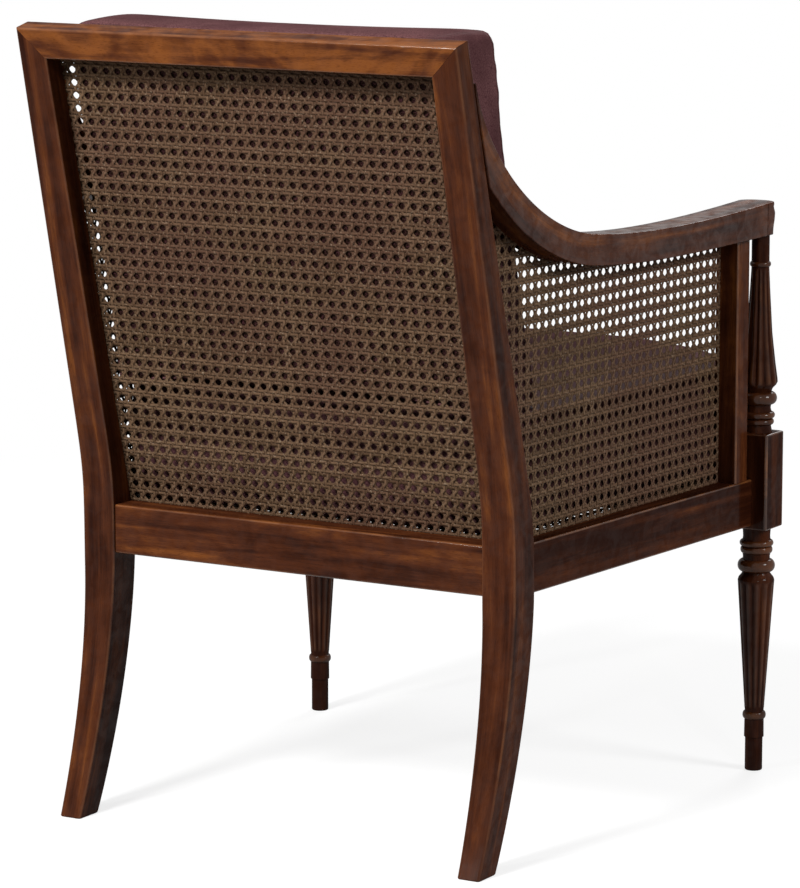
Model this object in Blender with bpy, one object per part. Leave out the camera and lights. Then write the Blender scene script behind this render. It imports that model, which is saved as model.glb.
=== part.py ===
"""Caned mahogany armchair with turned front legs, sabre rear legs and two loose leather cushions.

Metres, +Z up. The sitter faces -Y with the left hand at +X, and the chair stands on Z = 0.
"""

import math

import bmesh
import bpy
from mathutils import Vector

# Fits between pieces
CLEARANCE = 0.0003
ARRIS = 0.0022

# Back frame: crest rail and raked stiles
HEIGHT = 0.900
BACK_Y = 0.222
RAKE = math.radians(13.4)
RAKE_START_ABOVE_RAIL = 0.033
RAKE_BEND = 0.018
CREST_FACE = 0.0346
CREST_THICKNESS = 0.0262

# Rear legs, which carry on up as the back stiles
CREST_WIDTH = 0.5576
LEG_WIDTH_FOOT = 0.0278
LEG_WIDTH_SEAT = 0.0420
LEG_WIDTH_CREST = 0.0346
LEG_DEPTH_FOOT = 0.0370
LEG_DEPTH_SEAT = 0.0440
SABRE_BELOW_RAIL = 0.008
SABRE_SWEEP = 0.064
SABRE_POWER = 1.85
FOOT_DEPTH_POWER = 0.6
STILE_DEPTH_POWER = 0.7
LEG_STATIONS = 26

# Seat rails
SEAT_RAIL_TOP = 0.354
SEAT_RAIL_HEIGHT = 0.056
REAR_RAIL_SETBACK = 0.003
REAR_RAIL_THICKNESS = 0.042
SIDE_RAIL_SETBACK = 0.004
SIDE_RAIL_THICKNESS = 0.036
FRONT_RAIL_SETBACK = 0.0034
FRONT_RAIL_THICKNESS = 0.028
TENON_THICKNESS = 0.009
TENON_LENGTH = 0.016
TENON_SHOULDER = 0.010
TENON_ROOT = 0.006
TENON_WALL = 0.004

# Front legs, turned in one piece with a square block at the seat
FRONT_WIDTH = 0.6534
FRONT_LEG_Y = -0.3207
BLOCK_SIDE = 0.0454
BLOCK_BELOW_RAIL = 0.0043
BLOCK_ABOVE_RAIL = 0.0536
BLOCK_ARRIS = 0.0016
FOOT_RADIUS = 0.0104
FOOT_HEIGHT = 0.040
TAPER_RADIUS = 0.0216
VASE_RADIUS = 0.0224
POST_NECK_RADIUS = 0.0105
POST_TENON_RADIUS = 0.0080
POST_TENON_LENGTH = 0.018
REEDS = 12
REED_DEPTH = 0.07

# Arms
ARM_ABOVE_RAIL = 0.3254
ARM_THICKNESS = 0.0345
ARM_FRONT_SWELL = 0.0038
ARM_SWELL_Y = -0.100
ARM_OVERHANG_REAR = 0.0007
ARM_OVERHANG_FRONT = 0.0159
ARM_WIDTH_REAR = 0.0380
ARM_WIDTH_FRONT = 0.0450
ARM_NOSE = 0.0160
ARM_NOSE_DRAW = 0.35
ARM_ARRIS = 0.0012
ARM_TIP_DROP = 0.0397
ARM_TIP_THICKNESS = 0.0020
ARM_TIP_ANGLE = math.radians(15.5)
ARM_TIP_REACH = 0.473
ARM_SWEEP_Y = 0.067
ARM_SWEEP_RISE = 0.0005
ARM_SWEEP_ANGLE = math.radians(6.45)
ARM_SWEEP_REACH = 0.461
ARM_LEVEL_REACH = 0.303
ARM_FRONT_ANGLE = math.radians(3.5)
ARM_DOWEL_SHARE = 0.43
ARM_DOWEL_RADIUS = 0.004
ARM_DOWEL_LENGTH = 0.038

# Side stiles behind the turned posts
SIDE_STILE_DEPTH = 0.0268
SIDE_STILE_THICKNESS = 0.0295
SIDE_STILE_GAP = 0.0112
SIDE_STILE_TENON_WIDTH = 0.016
SIDE_STILE_TENON_LENGTH = 0.014

# Caning
CANE_THICKNESS = 0.0025
CANE_GROOVE = 0.008
BACK_CANE_LAP = 0.0058
CREST_CANE_LAP = 0.012
SIDE_CANE_INSET_FRONT = 0.024
SIDE_CANE_INSET_REAR = 0.020
SEAT_CANE_LAP = 0.006
CANE_OPENINGS = 12
CANE_OPEN_SHARE = 0.55

# Corner blocks and mitre tongues
CORNER_BLOCK_LEG = 0.070
CORNER_BLOCK_BLUNT = 0.012
CORNER_BLOCK_HEIGHT = 0.036
CORNER_BLOCK_RISE = 0.006
TONGUE_DIAGONAL = 0.020
TONGUE_THICKNESS = 0.006

# Seat cushion
SEAT_CUSHION_SETBACK = 0.0054
SEAT_CUSHION_REAR_GAP = 0.005
SEAT_CUSHION_SIDE_GAP = 0.010
SEAT_CUSHION_WALL = 0.128
SEAT_CUSHION_SEAM_RISE = 0.022
SEAT_CUSHION_CROWN = 0.012
SEAT_CUSHION_CORNER = 0.018

# Back cushion
BACK_CUSHION_SIDE_GAP = 0.0015
BACK_CUSHION_WALL = 0.112
BACK_CUSHION_CROWN = 0.018
BACK_CUSHION_RISE = 0.0115
BACK_CUSHION_CORNER = 0.04

# Shape that both cushions share
CUSHION_DRAW = 0.014
CUSHION_BULGE = 0.010
CUSHION_CELLS = 14
CUSHION_BANDS = 5

# Values that follow from the driving dimensions
RAKE_SLOPE = math.tan(RAKE)
RAKE_SINE = math.sin(RAKE)
RAKE_COSINE = math.cos(RAKE)
RAKE_START = SEAT_RAIL_TOP + RAKE_START_ABOVE_RAIL
SEAT_RAIL_BOTTOM = SEAT_RAIL_TOP - SEAT_RAIL_HEIGHT
SABRE_TOP = SEAT_RAIL_BOTTOM - SABRE_BELOW_RAIL
LEG_DEPTH_CREST = CREST_THICKNESS / RAKE_COSINE
REAR_LEG_X = (CREST_WIDTH - LEG_WIDTH_CREST) / 2
FRONT_LEG_X = (FRONT_WIDTH - BLOCK_SIDE) / 2
LEG_INNER_X = REAR_LEG_X - LEG_WIDTH_SEAT / 2
CREST_HALF_LENGTH = CREST_WIDTH / 2
REAR_RAIL_BACK = BACK_Y - REAR_RAIL_SETBACK
REAR_RAIL_FRONT = REAR_RAIL_BACK - REAR_RAIL_THICKNESS
BLOCK_BOTTOM = SEAT_RAIL_BOTTOM - BLOCK_BELOW_RAIL
BLOCK_TOP = SEAT_RAIL_TOP + BLOCK_ABOVE_RAIL
BLOCK_FRONT = FRONT_LEG_Y - BLOCK_SIDE / 2
BLOCK_BACK = FRONT_LEG_Y + BLOCK_SIDE / 2
BLOCK_INNER_X = FRONT_LEG_X - BLOCK_SIDE / 2
FRONT_RAIL_FRONT = BLOCK_FRONT + FRONT_RAIL_SETBACK
FRONT_RAIL_BACK = FRONT_RAIL_FRONT + FRONT_RAIL_THICKNESS
SIDE_RAIL_REAR_Y = BACK_Y - LEG_DEPTH_SEAT - CLEARANCE
SIDE_RAIL_FRONT_Y = BLOCK_BACK + CLEARANCE
SIDE_RAIL_OUTER_REAR = REAR_LEG_X + LEG_WIDTH_SEAT / 2 - SIDE_RAIL_SETBACK
SIDE_RAIL_OUTER_FRONT = FRONT_LEG_X + SIDE_RAIL_SETBACK
SIDE_STILE_FRONT_Y = BLOCK_BACK + SIDE_STILE_GAP
SIDE_STILE_BACK_Y = SIDE_STILE_FRONT_Y + SIDE_STILE_DEPTH
HALF_TENON = TENON_THICKNESS / 2
TENON_BOTTOM = SEAT_RAIL_BOTTOM + TENON_SHOULDER
TENON_TOP = SEAT_RAIL_TOP - TENON_SHOULDER - CANE_GROOVE
ARM_HEIGHT = SEAT_RAIL_TOP + ARM_ABOVE_RAIL
ARM_TIP_Z = HEIGHT - ARM_TIP_DROP
ARM_REAR_Y = BACK_Y + RAKE_SLOPE * (ARM_TIP_Z - RAKE_START) - LEG_DEPTH_CREST
ARM_OUTER_REAR = CREST_HALF_LENGTH + ARM_OVERHANG_REAR
ARM_OUTER_FRONT = FRONT_LEG_X + ARM_OVERHANG_FRONT
ARM_DOWEL_Z = ARM_HEIGHT + ARM_DOWEL_SHARE * (ARM_TIP_Z - ARM_HEIGHT)
BACK_CANE_DEPTH = CREST_THICKNESS + CLEARANCE
BACK_CANE_HALF_WIDTH = LEG_INNER_X + BACK_CANE_LAP
SEAT_CANE_BOTTOM = SEAT_RAIL_TOP + CLEARANCE
SEAT_CUSHION_BOTTOM = SEAT_CANE_BOTTOM + CANE_THICKNESS + CLEARANCE
SEAT_CUSHION_FRONT_Y = BLOCK_FRONT + SEAT_CUSHION_SETBACK
SEAT_CUSHION_REAR_Y = REAR_RAIL_FRONT - SEAT_CUSHION_REAR_GAP
BACK_CUSHION_REST = BACK_CANE_DEPTH + CANE_THICKNESS + CLEARANCE
CHAIR_REAR_Y = BACK_Y + RAKE_SLOPE * (HEIGHT - RAKE_START) - ARRIS * RAKE_SINE

for old in list(bpy.data.objects):
    bpy.data.objects.remove(old)

chair = bpy.data.objects.new("armchair", None)
chair.location.y = -(BLOCK_FRONT + CHAIR_REAR_Y) / 2
bpy.context.scene.collection.objects.link(chair)


# Materials

def finish(name, colour, roughness):
    material = bpy.data.materials.new(name)
    material.use_nodes = True
    shader = material.node_tree.nodes["Principled BSDF"]
    shader.inputs["Base Color"].default_value = (*colour, 1.0)
    shader.inputs["Roughness"].default_value = roughness
    material.diffuse_color = (*colour, 1.0)
    return material


MAHOGANY = finish("polished_mahogany", (0.130, 0.042, 0.016), 0.28)
BEECH = finish("secondary_timber", (0.340, 0.210, 0.105), 0.65)
CANE = finish("stained_cane", (0.150, 0.105, 0.065), 0.55)
LEATHER = finish("aubergine_leather", (0.085, 0.038, 0.042), 0.42)


# Mesh helpers

def lofts(solids):
    """Closed solids, each through rings of equal length and capped flat at both ends."""
    mesh = bmesh.new()
    for rings in solids:
        loops = [[mesh.verts.new(point) for point in ring] for ring in rings]
        for low, high in zip(loops, loops[1:]):
            for i in range(len(low)):
                j = (i + 1) % len(low)
                mesh.faces.new((low[i], low[j], high[j], high[i]))
        mesh.faces.new(loops[0])
        mesh.faces.new(loops[-1])
    bmesh.ops.recalc_face_normals(mesh, faces=mesh.faces)
    return mesh


def loft(rings):
    return lofts([rings])


def upright(outline, bottom, top):
    """A plan outline of (x, y) points raised from bottom to top."""
    return loft([[(x, y, z) for x, y in outline] for z in (bottom, top)])


def box(low, high):
    (x0, y0, z0), (x1, y1, z1) = low, high
    return upright([(x0, y0), (x1, y0), (x1, y1), (x0, y1)], z0, z1)


def rod(start, end, radius, sides=24):
    """A round rod between two places."""
    turn = (end - start).to_track_quat("Z", "Y")
    angles = [2 * math.pi * i / sides for i in range(sides)]
    ring = [turn @ Vector((radius * math.cos(a), radius * math.sin(a), 0.0)) for a in angles]
    return loft([[place + point for point in ring] for place in (start, end)])


def add(name, mesh, material, smooth=0.0):
    data = bpy.data.meshes.new(name)
    mesh.to_mesh(data)
    mesh.free()
    data.materials.append(material)
    if smooth:
        data.shade_smooth()
        data.set_sharp_from_angle(angle=smooth)
    piece = bpy.data.objects.new(name, data)
    piece.parent = chair
    bpy.context.scene.collection.objects.link(piece)
    return piece


def helper(name, mesh):
    """A tool for a Boolean, which isn't a piece of the chair."""
    tool = add(name, mesh, BEECH)
    tool.hide_render = True
    tool.display_type = "WIRE"
    return tool


def combine(piece, tool, operation):
    modifier = piece.modifiers.new(tool.name, "BOOLEAN")
    modifier.operation = operation
    modifier.object = tool


def cut(piece, tool):
    combine(piece, tool, "DIFFERENCE")


def tenon(name, piece, host, low, high):
    """Adds a tenon between two corners to the piece, and cuts its mortise in the host."""
    pairs = list(zip(low, high))
    low = [min(pair) for pair in pairs]
    high = [max(pair) for pair in pairs]
    combine(piece, helper(name + "_tenon", box(low, high)), "UNION")
    low = [value - CLEARANCE for value in low]
    high = [value + CLEARANCE for value in high]
    cut(host, helper(name + "_mortise", box(low, high)))


def between(y, front, rear, front_y, rear_y):
    """A value that runs straight from front to rear."""
    return front + (rear - front) * (y - front_y) / (rear_y - front_y)


def bevelled(x0, x1, y0, y1, arris):
    """Eight corners of a rectangle with its arrises taken off."""
    return [
        (x0 + arris, y0), (x1 - arris, y0), (x1, y0 + arris), (x1, y1 - arris),
        (x1 - arris, y1), (x0 + arris, y1), (x0, y1 - arris), (x0, y0 + arris),
    ]


# Lines of the frame

def back_line(z):
    """Straight raked line of the back faces, carried on down past the bend."""
    return BACK_Y + RAKE_SLOPE * (z - RAKE_START)


def leg_back(z):
    bend = RAKE_SLOPE * RAKE_BEND * math.log1p(math.exp((z - RAKE_START) / RAKE_BEND))
    below = max(0.0, (SABRE_TOP - z) / SABRE_TOP)
    return BACK_Y + bend + SABRE_SWEEP * below ** SABRE_POWER


def leg_depth(z):
    if z > SEAT_RAIL_TOP:
        share = (z - SEAT_RAIL_TOP) / (HEIGHT - SEAT_RAIL_TOP)
        return LEG_DEPTH_SEAT + (LEG_DEPTH_CREST - LEG_DEPTH_SEAT) * share ** STILE_DEPTH_POWER
    share = min(z / SABRE_TOP, 1.0)
    return LEG_DEPTH_FOOT + (LEG_DEPTH_SEAT - LEG_DEPTH_FOOT) * share ** FOOT_DEPTH_POWER


def leg_front(z):
    return leg_back(z) - leg_depth(z)


def leg_width(z):
    if z > SEAT_RAIL_TOP:
        share = (z - SEAT_RAIL_TOP) / (HEIGHT - SEAT_RAIL_TOP)
        return LEG_WIDTH_SEAT + (LEG_WIDTH_CREST - LEG_WIDTH_SEAT) * share
    share = min(z / SABRE_TOP, 1.0)
    return LEG_WIDTH_FOOT + (LEG_WIDTH_SEAT - LEG_WIDTH_FOOT) * share


def raked(x, depth, down):
    """A point of the back frame: depth in from its back face, down from its top edge."""
    y = back_line(HEIGHT) - down * RAKE_SINE - depth * RAKE_COSINE
    z = HEIGHT - down * RAKE_COSINE + depth * RAKE_SINE
    return (x, y, z)


def raked_y(z, depth):
    """Y of the raked plane that lies a depth in from the back faces, at height z."""
    return back_line(z) - depth / RAKE_COSINE


def side_rail_outer(y):
    ends = (SIDE_RAIL_OUTER_FRONT, SIDE_RAIL_OUTER_REAR)
    return between(y, *ends, SIDE_RAIL_FRONT_Y, SIDE_RAIL_REAR_Y)


def side_rail_inner(y):
    return side_rail_outer(y) - SIDE_RAIL_THICKNESS


def side_cane_x(y):
    insets = (SIDE_CANE_INSET_FRONT, SIDE_CANE_INSET_REAR)
    return side_rail_outer(y) - between(y, *insets, SIDE_RAIL_FRONT_Y, SIDE_RAIL_REAR_Y)


# Back frame

def mitre_down(x):
    """How far below the top edge the mitre lies at a distance x from the middle."""
    return (CREST_HALF_LENGTH - x) * CREST_FACE / LEG_WIDTH_CREST


def rear_leg(name, side):
    top = HEIGHT - CREST_FACE - LEG_DEPTH_CREST
    heights = {top * i / LEG_STATIONS for i in range(LEG_STATIONS + 1)}
    rings = []
    for z in sorted(heights | {SABRE_TOP, SEAT_RAIL_TOP}):
        half = leg_width(z) / 2
        outline = bevelled(REAR_LEG_X - half, REAR_LEG_X + half, leg_front(z), leg_back(z), ARRIS)
        rings.append([(side * x, y, z) for x, y in outline])
    half = LEG_WIDTH_CREST / 2
    mitre = bevelled(REAR_LEG_X - half, REAR_LEG_X + half, -CREST_THICKNESS, 0.0, ARRIS)
    rings.append([raked(side * x, -depth, mitre_down(x) + CLEARANCE) for x, depth in mitre])
    return add(name, loft(rings), MAHOGANY)


def crest_rail():
    outline = bevelled(0.0, CREST_THICKNESS, 0.0, CREST_FACE, ARRIS)
    reach = [CREST_HALF_LENGTH - down * LEG_WIDTH_CREST / CREST_FACE for depth, down in outline]
    rings = []
    for side in (-1, 1):
        rings.append([raked(side * x, *point) for x, point in zip(reach, outline)])
    return add("crest_rail", loft(rings), MAHOGANY)


def mitre_tongue(side, grow):
    """A square loose tongue across the middle of the mitre."""
    reach = TONGUE_DIAGONAL / 2 + grow
    corners = ((reach, 0.0), (0.0, reach), (-reach, 0.0), (0.0, -reach))
    middle = mitre_down(REAR_LEG_X)
    rings = []
    for sign in (-1, 1):
        depth = CREST_THICKNESS / 2 + sign * (TONGUE_THICKNESS / 2 + grow)
        rings.append([raked(side * (REAR_LEG_X + x), depth, middle + down) for x, down in corners])
    return loft(rings)


# Seat frame

def seat_rail(name, outline):
    return add(name, upright(outline, SEAT_RAIL_BOTTOM, SEAT_RAIL_TOP), MAHOGANY)


def cross_rail(name, front, back, half):
    return seat_rail(name, ((-half, front), (half, front), (half, back), (-half, back)))


def side_rail(name, side):
    front, rear = SIDE_RAIL_FRONT_Y, SIDE_RAIL_REAR_Y
    return seat_rail(name, (
        (side * side_rail_outer(front), front), (side * side_rail_outer(rear), rear),
        (side * side_rail_inner(rear), rear), (side * side_rail_inner(front), front),
    ))


def corner_block(name, side, rail_y, inward):
    """A glued block in the corner of two rails. Inward is the way along Y into the seat."""
    near_y = rail_y + inward * CLEARANCE
    far_y = near_y + inward * CORNER_BLOCK_LEG
    near_x = side_rail_inner(near_y) - CLEARANCE
    far_x = side_rail_inner(far_y) - CLEARANCE
    outline = (
        (side * near_x, near_y), (side * far_x, far_y), (side * (far_x - CORNER_BLOCK_BLUNT), far_y),
        (side * (near_x - CORNER_BLOCK_LEG), near_y + inward * CORNER_BLOCK_BLUNT),
        (side * (near_x - CORNER_BLOCK_LEG), near_y),
    )
    bottom = SEAT_RAIL_BOTTOM + CORNER_BLOCK_RISE
    return add(name, upright(outline, bottom, bottom + CORNER_BLOCK_HEIGHT), BEECH)


# Front legs

def bead(middle, height, core, radius, points=3):
    """Half-round bead on a turned core, as (height, radius, reeded) stations."""
    stations = []
    for i in range(points + 2):
        turn = math.pi * (i / (points + 1) - 0.5)
        swell = core + (radius - core) * math.cos(turn)
        stations.append((middle + height / 2 * math.sin(turn), swell, False))
    return stations


def leg_turning():
    """Stations from the floor up to the block."""
    foot = FOOT_RADIUS
    taper = TAPER_RADIUS
    ankle = FOOT_HEIGHT
    under = BLOCK_BOTTOM
    return [
        (0.0, foot, False), (ankle, foot, False),
        (ankle + 0.0006, foot + 0.0013, False), (ankle + 0.0215, foot + 0.0011, False),
        *bead(ankle + 0.0270, 0.0090, foot + 0.0010, foot + 0.0035),
        (ankle + 0.0335, foot + 0.0008, False), (ankle + 0.0360, foot + 0.0012, True),
        (under - 0.0640, taper, True), (under - 0.0600, taper - 0.0010, True),
        (under - 0.0570, taper - 0.0035, False), (under - 0.0550, taper - 0.0050, False),
        *bead(under - 0.0457, 0.0150, taper - 0.0055, taper + 0.0005, 5),
        (under - 0.0347, taper - 0.0057, False),
        *bead(under - 0.0267, 0.0080, taper - 0.0050, taper - 0.0026),
        *bead(under - 0.0187, 0.0075, taper - 0.0050, taper - 0.0016),
        (under - 0.0110, taper - 0.0056, False), (under, taper - 0.0050, False),
    ]


def post_turning(top):
    """Stations from the block up to the underside of the arm, and the tenon above that."""
    over = BLOCK_TOP
    neck = POST_NECK_RADIUS
    swell = VASE_RADIUS - neck
    waist = over + 0.0564
    collar = top - 0.0348
    vase = collar - 0.0040 - waist
    shape = (
        (0.0, 0.84), (0.025, 1.0), (0.10, 0.88), (0.19, 0.73),
        (0.365, 0.49), (0.45, 0.38), (0.82, 0.11), (1.0, 0.0),
    )
    return [
        (over, neck + 0.50 * swell, False), (over + 0.0070, neck + 0.38 * swell, False),
        *bead(over + 0.0124, 0.0070, neck + 0.42 * swell, neck + 0.67 * swell),
        *bead(over + 0.0202, 0.0080, neck + 0.42 * swell, neck + 0.76 * swell),
        (over + 0.0290, neck + 0.32 * swell, False),
        *bead(over + 0.0404, 0.0150, neck + 0.38 * swell, neck + 0.94 * swell, 5),
        (over + 0.0522, neck + 0.50 * swell, False),
        *[(waist + share * vase, neck + part * swell, True) for share, part in shape],
        *bead(collar, 0.0060, neck, neck + 0.0019),
        (collar + 0.0040, neck, False), (top, neck, False),
        (top, POST_TENON_RADIUS, False), (top + POST_TENON_LENGTH, POST_TENON_RADIUS, False),
    ]


def front_leg(name, side):
    turns = [math.pi * i / REEDS for i in range(2 * REEDS)]

    def spot(turn, reach, z):
        return (side * FRONT_LEG_X + reach * math.cos(turn), FRONT_LEG_Y + reach * math.sin(turn), z)

    def round_ring(z, radius, reeded):
        valley = radius * (1 - REED_DEPTH) if reeded else radius
        return [spot(turn, valley if i % 2 else radius, z) for i, turn in enumerate(turns)]

    def square_ring(z, half):
        return [spot(turn, half / max(abs(math.cos(turn)), abs(math.sin(turn))), z) for turn in turns]

    half = BLOCK_SIDE / 2
    rings = [round_ring(*station) for station in leg_turning()]
    rings.append(square_ring(BLOCK_BOTTOM, half - BLOCK_ARRIS))
    rings.append(square_ring(BLOCK_BOTTOM + BLOCK_ARRIS, half))
    rings.append(square_ring(BLOCK_TOP - BLOCK_ARRIS, half))
    rings.append(square_ring(BLOCK_TOP, half - BLOCK_ARRIS))
    rings += [round_ring(*station) for station in post_turning(arm_underside(FRONT_LEG_Y) - CLEARANCE)]
    return add(name, loft(rings), MAHOGANY, smooth=math.radians(40))


# Arms

def cubic(points, share):
    """Place and direction on a cubic curve with four control points."""
    a, b, c, d = points
    rest = 1 - share
    place = a * rest ** 3 + b * 3 * rest ** 2 * share + c * 3 * rest * share ** 2 + d * share ** 3
    direction = (b - a) * rest ** 2 + (c - b) * 2 * rest * share + (d - c) * share ** 2
    return place, direction.normalized()


def arm_top():
    """(y, z) places and directions along the arm's upper edge, from its tip on the stile forward."""
    tip = Vector((leg_front(ARM_TIP_Z) - CLEARANCE - ARM_TIP_THICKNESS, ARM_TIP_Z))
    low = Vector((ARM_SWEEP_Y, ARM_HEIGHT + ARM_SWEEP_RISE))
    end = Vector((FRONT_LEG_Y, ARM_HEIGHT))
    lean = Vector((-math.tan(ARM_TIP_ANGLE), -1.0)) * ARM_TIP_REACH * (tip.y - low.y)
    slope = Vector((1.0, math.tan(ARM_SWEEP_ANGLE)))
    level = (low.x - end.x) * ARM_LEVEL_REACH
    rear = (tip, tip + lean, low + slope * ARM_SWEEP_REACH * (tip.x - low.x), low)
    dip = Vector((1.0, -math.tan(ARM_FRONT_ANGLE)))
    front = (low, low - slope * level, end + dip * level, end)
    places = [cubic(rear, i / 18) for i in range(19)]
    places += [cubic(front, i / 8) for i in range(1, 9)]
    for turn in (25, 50, 70, 90):
        nose = Vector((-ARM_NOSE * math.sin(math.radians(turn)), 0.0))
        places.append((end + nose, Vector((-1.0, 0.0))))
    return places


def arm_thickness(y):
    """Whole thickness of the arm, which swells towards the nose."""
    share = min(max((ARM_SWELL_Y - y) / (ARM_SWELL_Y - FRONT_LEG_Y), 0.0), 1.0)
    return ARM_THICKNESS + ARM_FRONT_SWELL * share ** 2


def arm_depth(place, downward):
    """Thickness of the arm under a place on its upper edge, less where it runs up the stile."""
    whole = arm_thickness(place.x)

    def clear(depth):
        point = place + downward * depth
        return point.x <= leg_front(point.y) - CLEARANCE

    if clear(whole):
        return whole
    low, high = 0.0, whole
    for _ in range(40):
        middle = (low + high) / 2
        if clear(middle):
            low = middle
        else:
            high = middle
    return low


def arm_stations():
    """(place, downward, depth) along the arm, from its tip forward."""
    stations = []
    for place, direction in arm_top():
        downward = Vector((-direction.y, direction.x))
        if place.x < ARM_SWELL_Y:
            downward = Vector((0.0, -1.0))
        stations.append((place, downward, arm_depth(place, downward)))
    return stations


def arm_line(lift):
    """(y, z) points along the arm in front of the stile, a lift above its underside."""
    free = [station for station in arm_stations() if station[2] == arm_thickness(station[0].x)]
    return [place + downward * (depth - lift) for place, downward, depth in free]


def arm_underside(y):
    line = arm_line(0.0)
    for rear, front in zip(line, line[1:]):
        if front.x <= y <= rear.x:
            return between(y, front.y, rear.y, front.x, rear.x)
    return line[0].y


def arm_faces(y):
    """X of the outer and inner faces of the arm at y, drawn in round the nose."""
    outer = between(y, ARM_OUTER_FRONT, ARM_OUTER_REAR, FRONT_LEG_Y, ARM_REAR_Y)
    width = between(y, ARM_WIDTH_FRONT, ARM_WIDTH_REAR, FRONT_LEG_Y, ARM_REAR_Y)
    past = min(max((FRONT_LEG_Y - y) / ARM_NOSE, 0.0), 1.0)
    drawn = ARM_NOSE_DRAW * ARM_WIDTH_FRONT * (1 - math.sqrt(1 - past * past))
    return outer - drawn, outer - width + drawn


def arm(name, side):
    rings = []
    for place, downward, depth in arm_stations():
        arris = min(ARM_ARRIS, depth / 3)
        outside = []
        inside = []
        for down, taken in ((0.0, arris), (arris, 0.0), (depth - arris, 0.0), (depth, arris)):
            y, z = place + downward * down
            outer, inner = arm_faces(y)
            outside.append((side * (outer - taken), y, z))
            inside.append((side * (inner + taken), y, z))
        rings.append(outside + inside[::-1])
    return add(name, loft(rings), MAHOGANY)


def arm_dowel(side, grow):
    half = ARM_DOWEL_LENGTH / 2 + grow
    middle = leg_front(ARM_DOWEL_Z)
    ends = [Vector((side * REAR_LEG_X, middle + reach, ARM_DOWEL_Z)) for reach in (-half, half)]
    return rod(*ends, ARM_DOWEL_RADIUS + grow)


def post_bore(side):
    under = arm_underside(FRONT_LEG_Y)
    ends = [Vector((side * FRONT_LEG_X, FRONT_LEG_Y, under + z)) for z in (-TENON_ROOT, POST_TENON_LENGTH)]
    return rod(*ends, POST_TENON_RADIUS + CLEARANCE)


def side_stile(name, side, top):
    outline = []
    for y, inset in (
        (SIDE_STILE_FRONT_Y, 0.0), (SIDE_STILE_BACK_Y, 0.0),
        (SIDE_STILE_BACK_Y, SIDE_STILE_THICKNESS), (SIDE_STILE_FRONT_Y, SIDE_STILE_THICKNESS),
    ):
        outline.append((side * (side_rail_outer(y) - inset), y))
    return add(name, upright(outline, SEAT_RAIL_TOP + CLEARANCE, top), MAHOGANY)


# Caning

def back_cane(grow, forward=0.0):
    """The back panel, or with grow and forward the room that is cut for it."""
    half = BACK_CANE_HALF_WIDTH + grow
    bottom = SEAT_RAIL_TOP - CANE_GROOVE - grow
    top = raked(0.0, 0.0, CREST_FACE - CREST_CANE_LAP - grow)[2]
    rear = BACK_CANE_DEPTH - grow
    front = BACK_CANE_DEPTH + CANE_THICKNESS + grow + forward
    corners = ((bottom, rear), (bottom, front), (top, front), (top, rear))
    outline = [(raked_y(z, depth), z) for z, depth in corners]
    return loft([[(x, y, z) for y, z in outline] for x in (-half, half)])


def side_cane(side, grow):
    """A side panel in its grooves, or with grow the grooves themselves."""
    lap = CANE_GROOVE + grow
    bottom = SEAT_RAIL_TOP - lap
    front = SIDE_STILE_BACK_Y - lap
    upper = [point for point in arm_line(lap) if point.x > front]
    top = upper[0].y
    outline = [(front, bottom), (front, arm_underside(front) + lap)]
    outline += [(point.x, point.y) for point in reversed(upper)]
    for i in range(13):
        z = top + (bottom - top) * i / 12
        outline.append((leg_front(z) + lap, z))
    rings = []
    for face in (-1, 1):
        shift = face * (CANE_THICKNESS / 2 + grow)
        rings.append([(side * (side_cane_x(y) + shift), y, z) for y, z in outline])
    return loft(rings)


def openings(low, high):
    """(from, to) of the openings across a cane panel, between two sight edges."""
    pitch = (high - low) / CANE_OPENINGS
    reach = CANE_OPEN_SHARE * pitch / 2
    middles = [low + pitch * (i + 0.5) for i in range(CANE_OPENINGS)]
    return [(middle - reach, middle + reach) for middle in middles]


def back_openings():
    """The open grid of the back panel, as blocks that reach through it."""
    rear = BACK_CANE_DEPTH - CANE_THICKNESS
    front = BACK_CANE_DEPTH + 2 * CANE_THICKNESS
    solids = []
    for x0, x1 in openings(-LEG_INNER_X, LEG_INNER_X):
        for z0, z1 in openings(SEAT_RAIL_TOP, raked(0.0, 0.0, CREST_FACE)[2]):
            corners = ((z0, rear), (z0, front), (z1, front), (z1, rear))
            outline = [(raked_y(z, depth), z) for z, depth in corners]
            solids.append([[(x, y, z) for y, z in outline] for x in (x0, x1)])
    return lofts(solids)


def side_openings(side):
    """The open grid of a side panel, where a whole opening has room under the arm."""
    columns = openings(SIDE_STILE_BACK_Y, SIDE_RAIL_REAR_Y)
    margin = (columns[1][0] - columns[0][1]) / 2
    pitch = 2 * margin + columns[0][1] - columns[0][0]
    solids = []
    for y0, y1 in columns:
        z0 = SEAT_RAIL_TOP + margin
        z1 = z0 + y1 - y0
        while z1 + margin < min(arm_underside(y0), arm_underside(y1)):
            rings = []
            for reach in (-CANE_THICKNESS, CANE_THICKNESS):
                spots = ((y0, z0), (y1, z0), (y1, z1), (y0, z1))
                rings.append([(side * (side_cane_x(y) + reach), y, z) for y, z in spots])
            solids.append(rings)
            z0 += pitch
            z1 += pitch
    return lofts(solids)


def seat_openings():
    """The open grid of the seat panel, which narrows with it towards the back."""
    solids = []
    for low, high in openings(-1.0, 1.0):
        for y0, y1 in openings(FRONT_RAIL_BACK, REAR_RAIL_FRONT):
            spots = ((low, y0), (high, y0), (high, y1), (low, y1))
            outline = [(share * side_rail_inner(y), y) for share, y in spots]
            levels = (SEAT_CANE_BOTTOM - CANE_THICKNESS, SEAT_CANE_BOTTOM + 2 * CANE_THICKNESS)
            solids.append([[(x, y, z) for x, y in outline] for z in levels])
    return lofts(solids)


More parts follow.
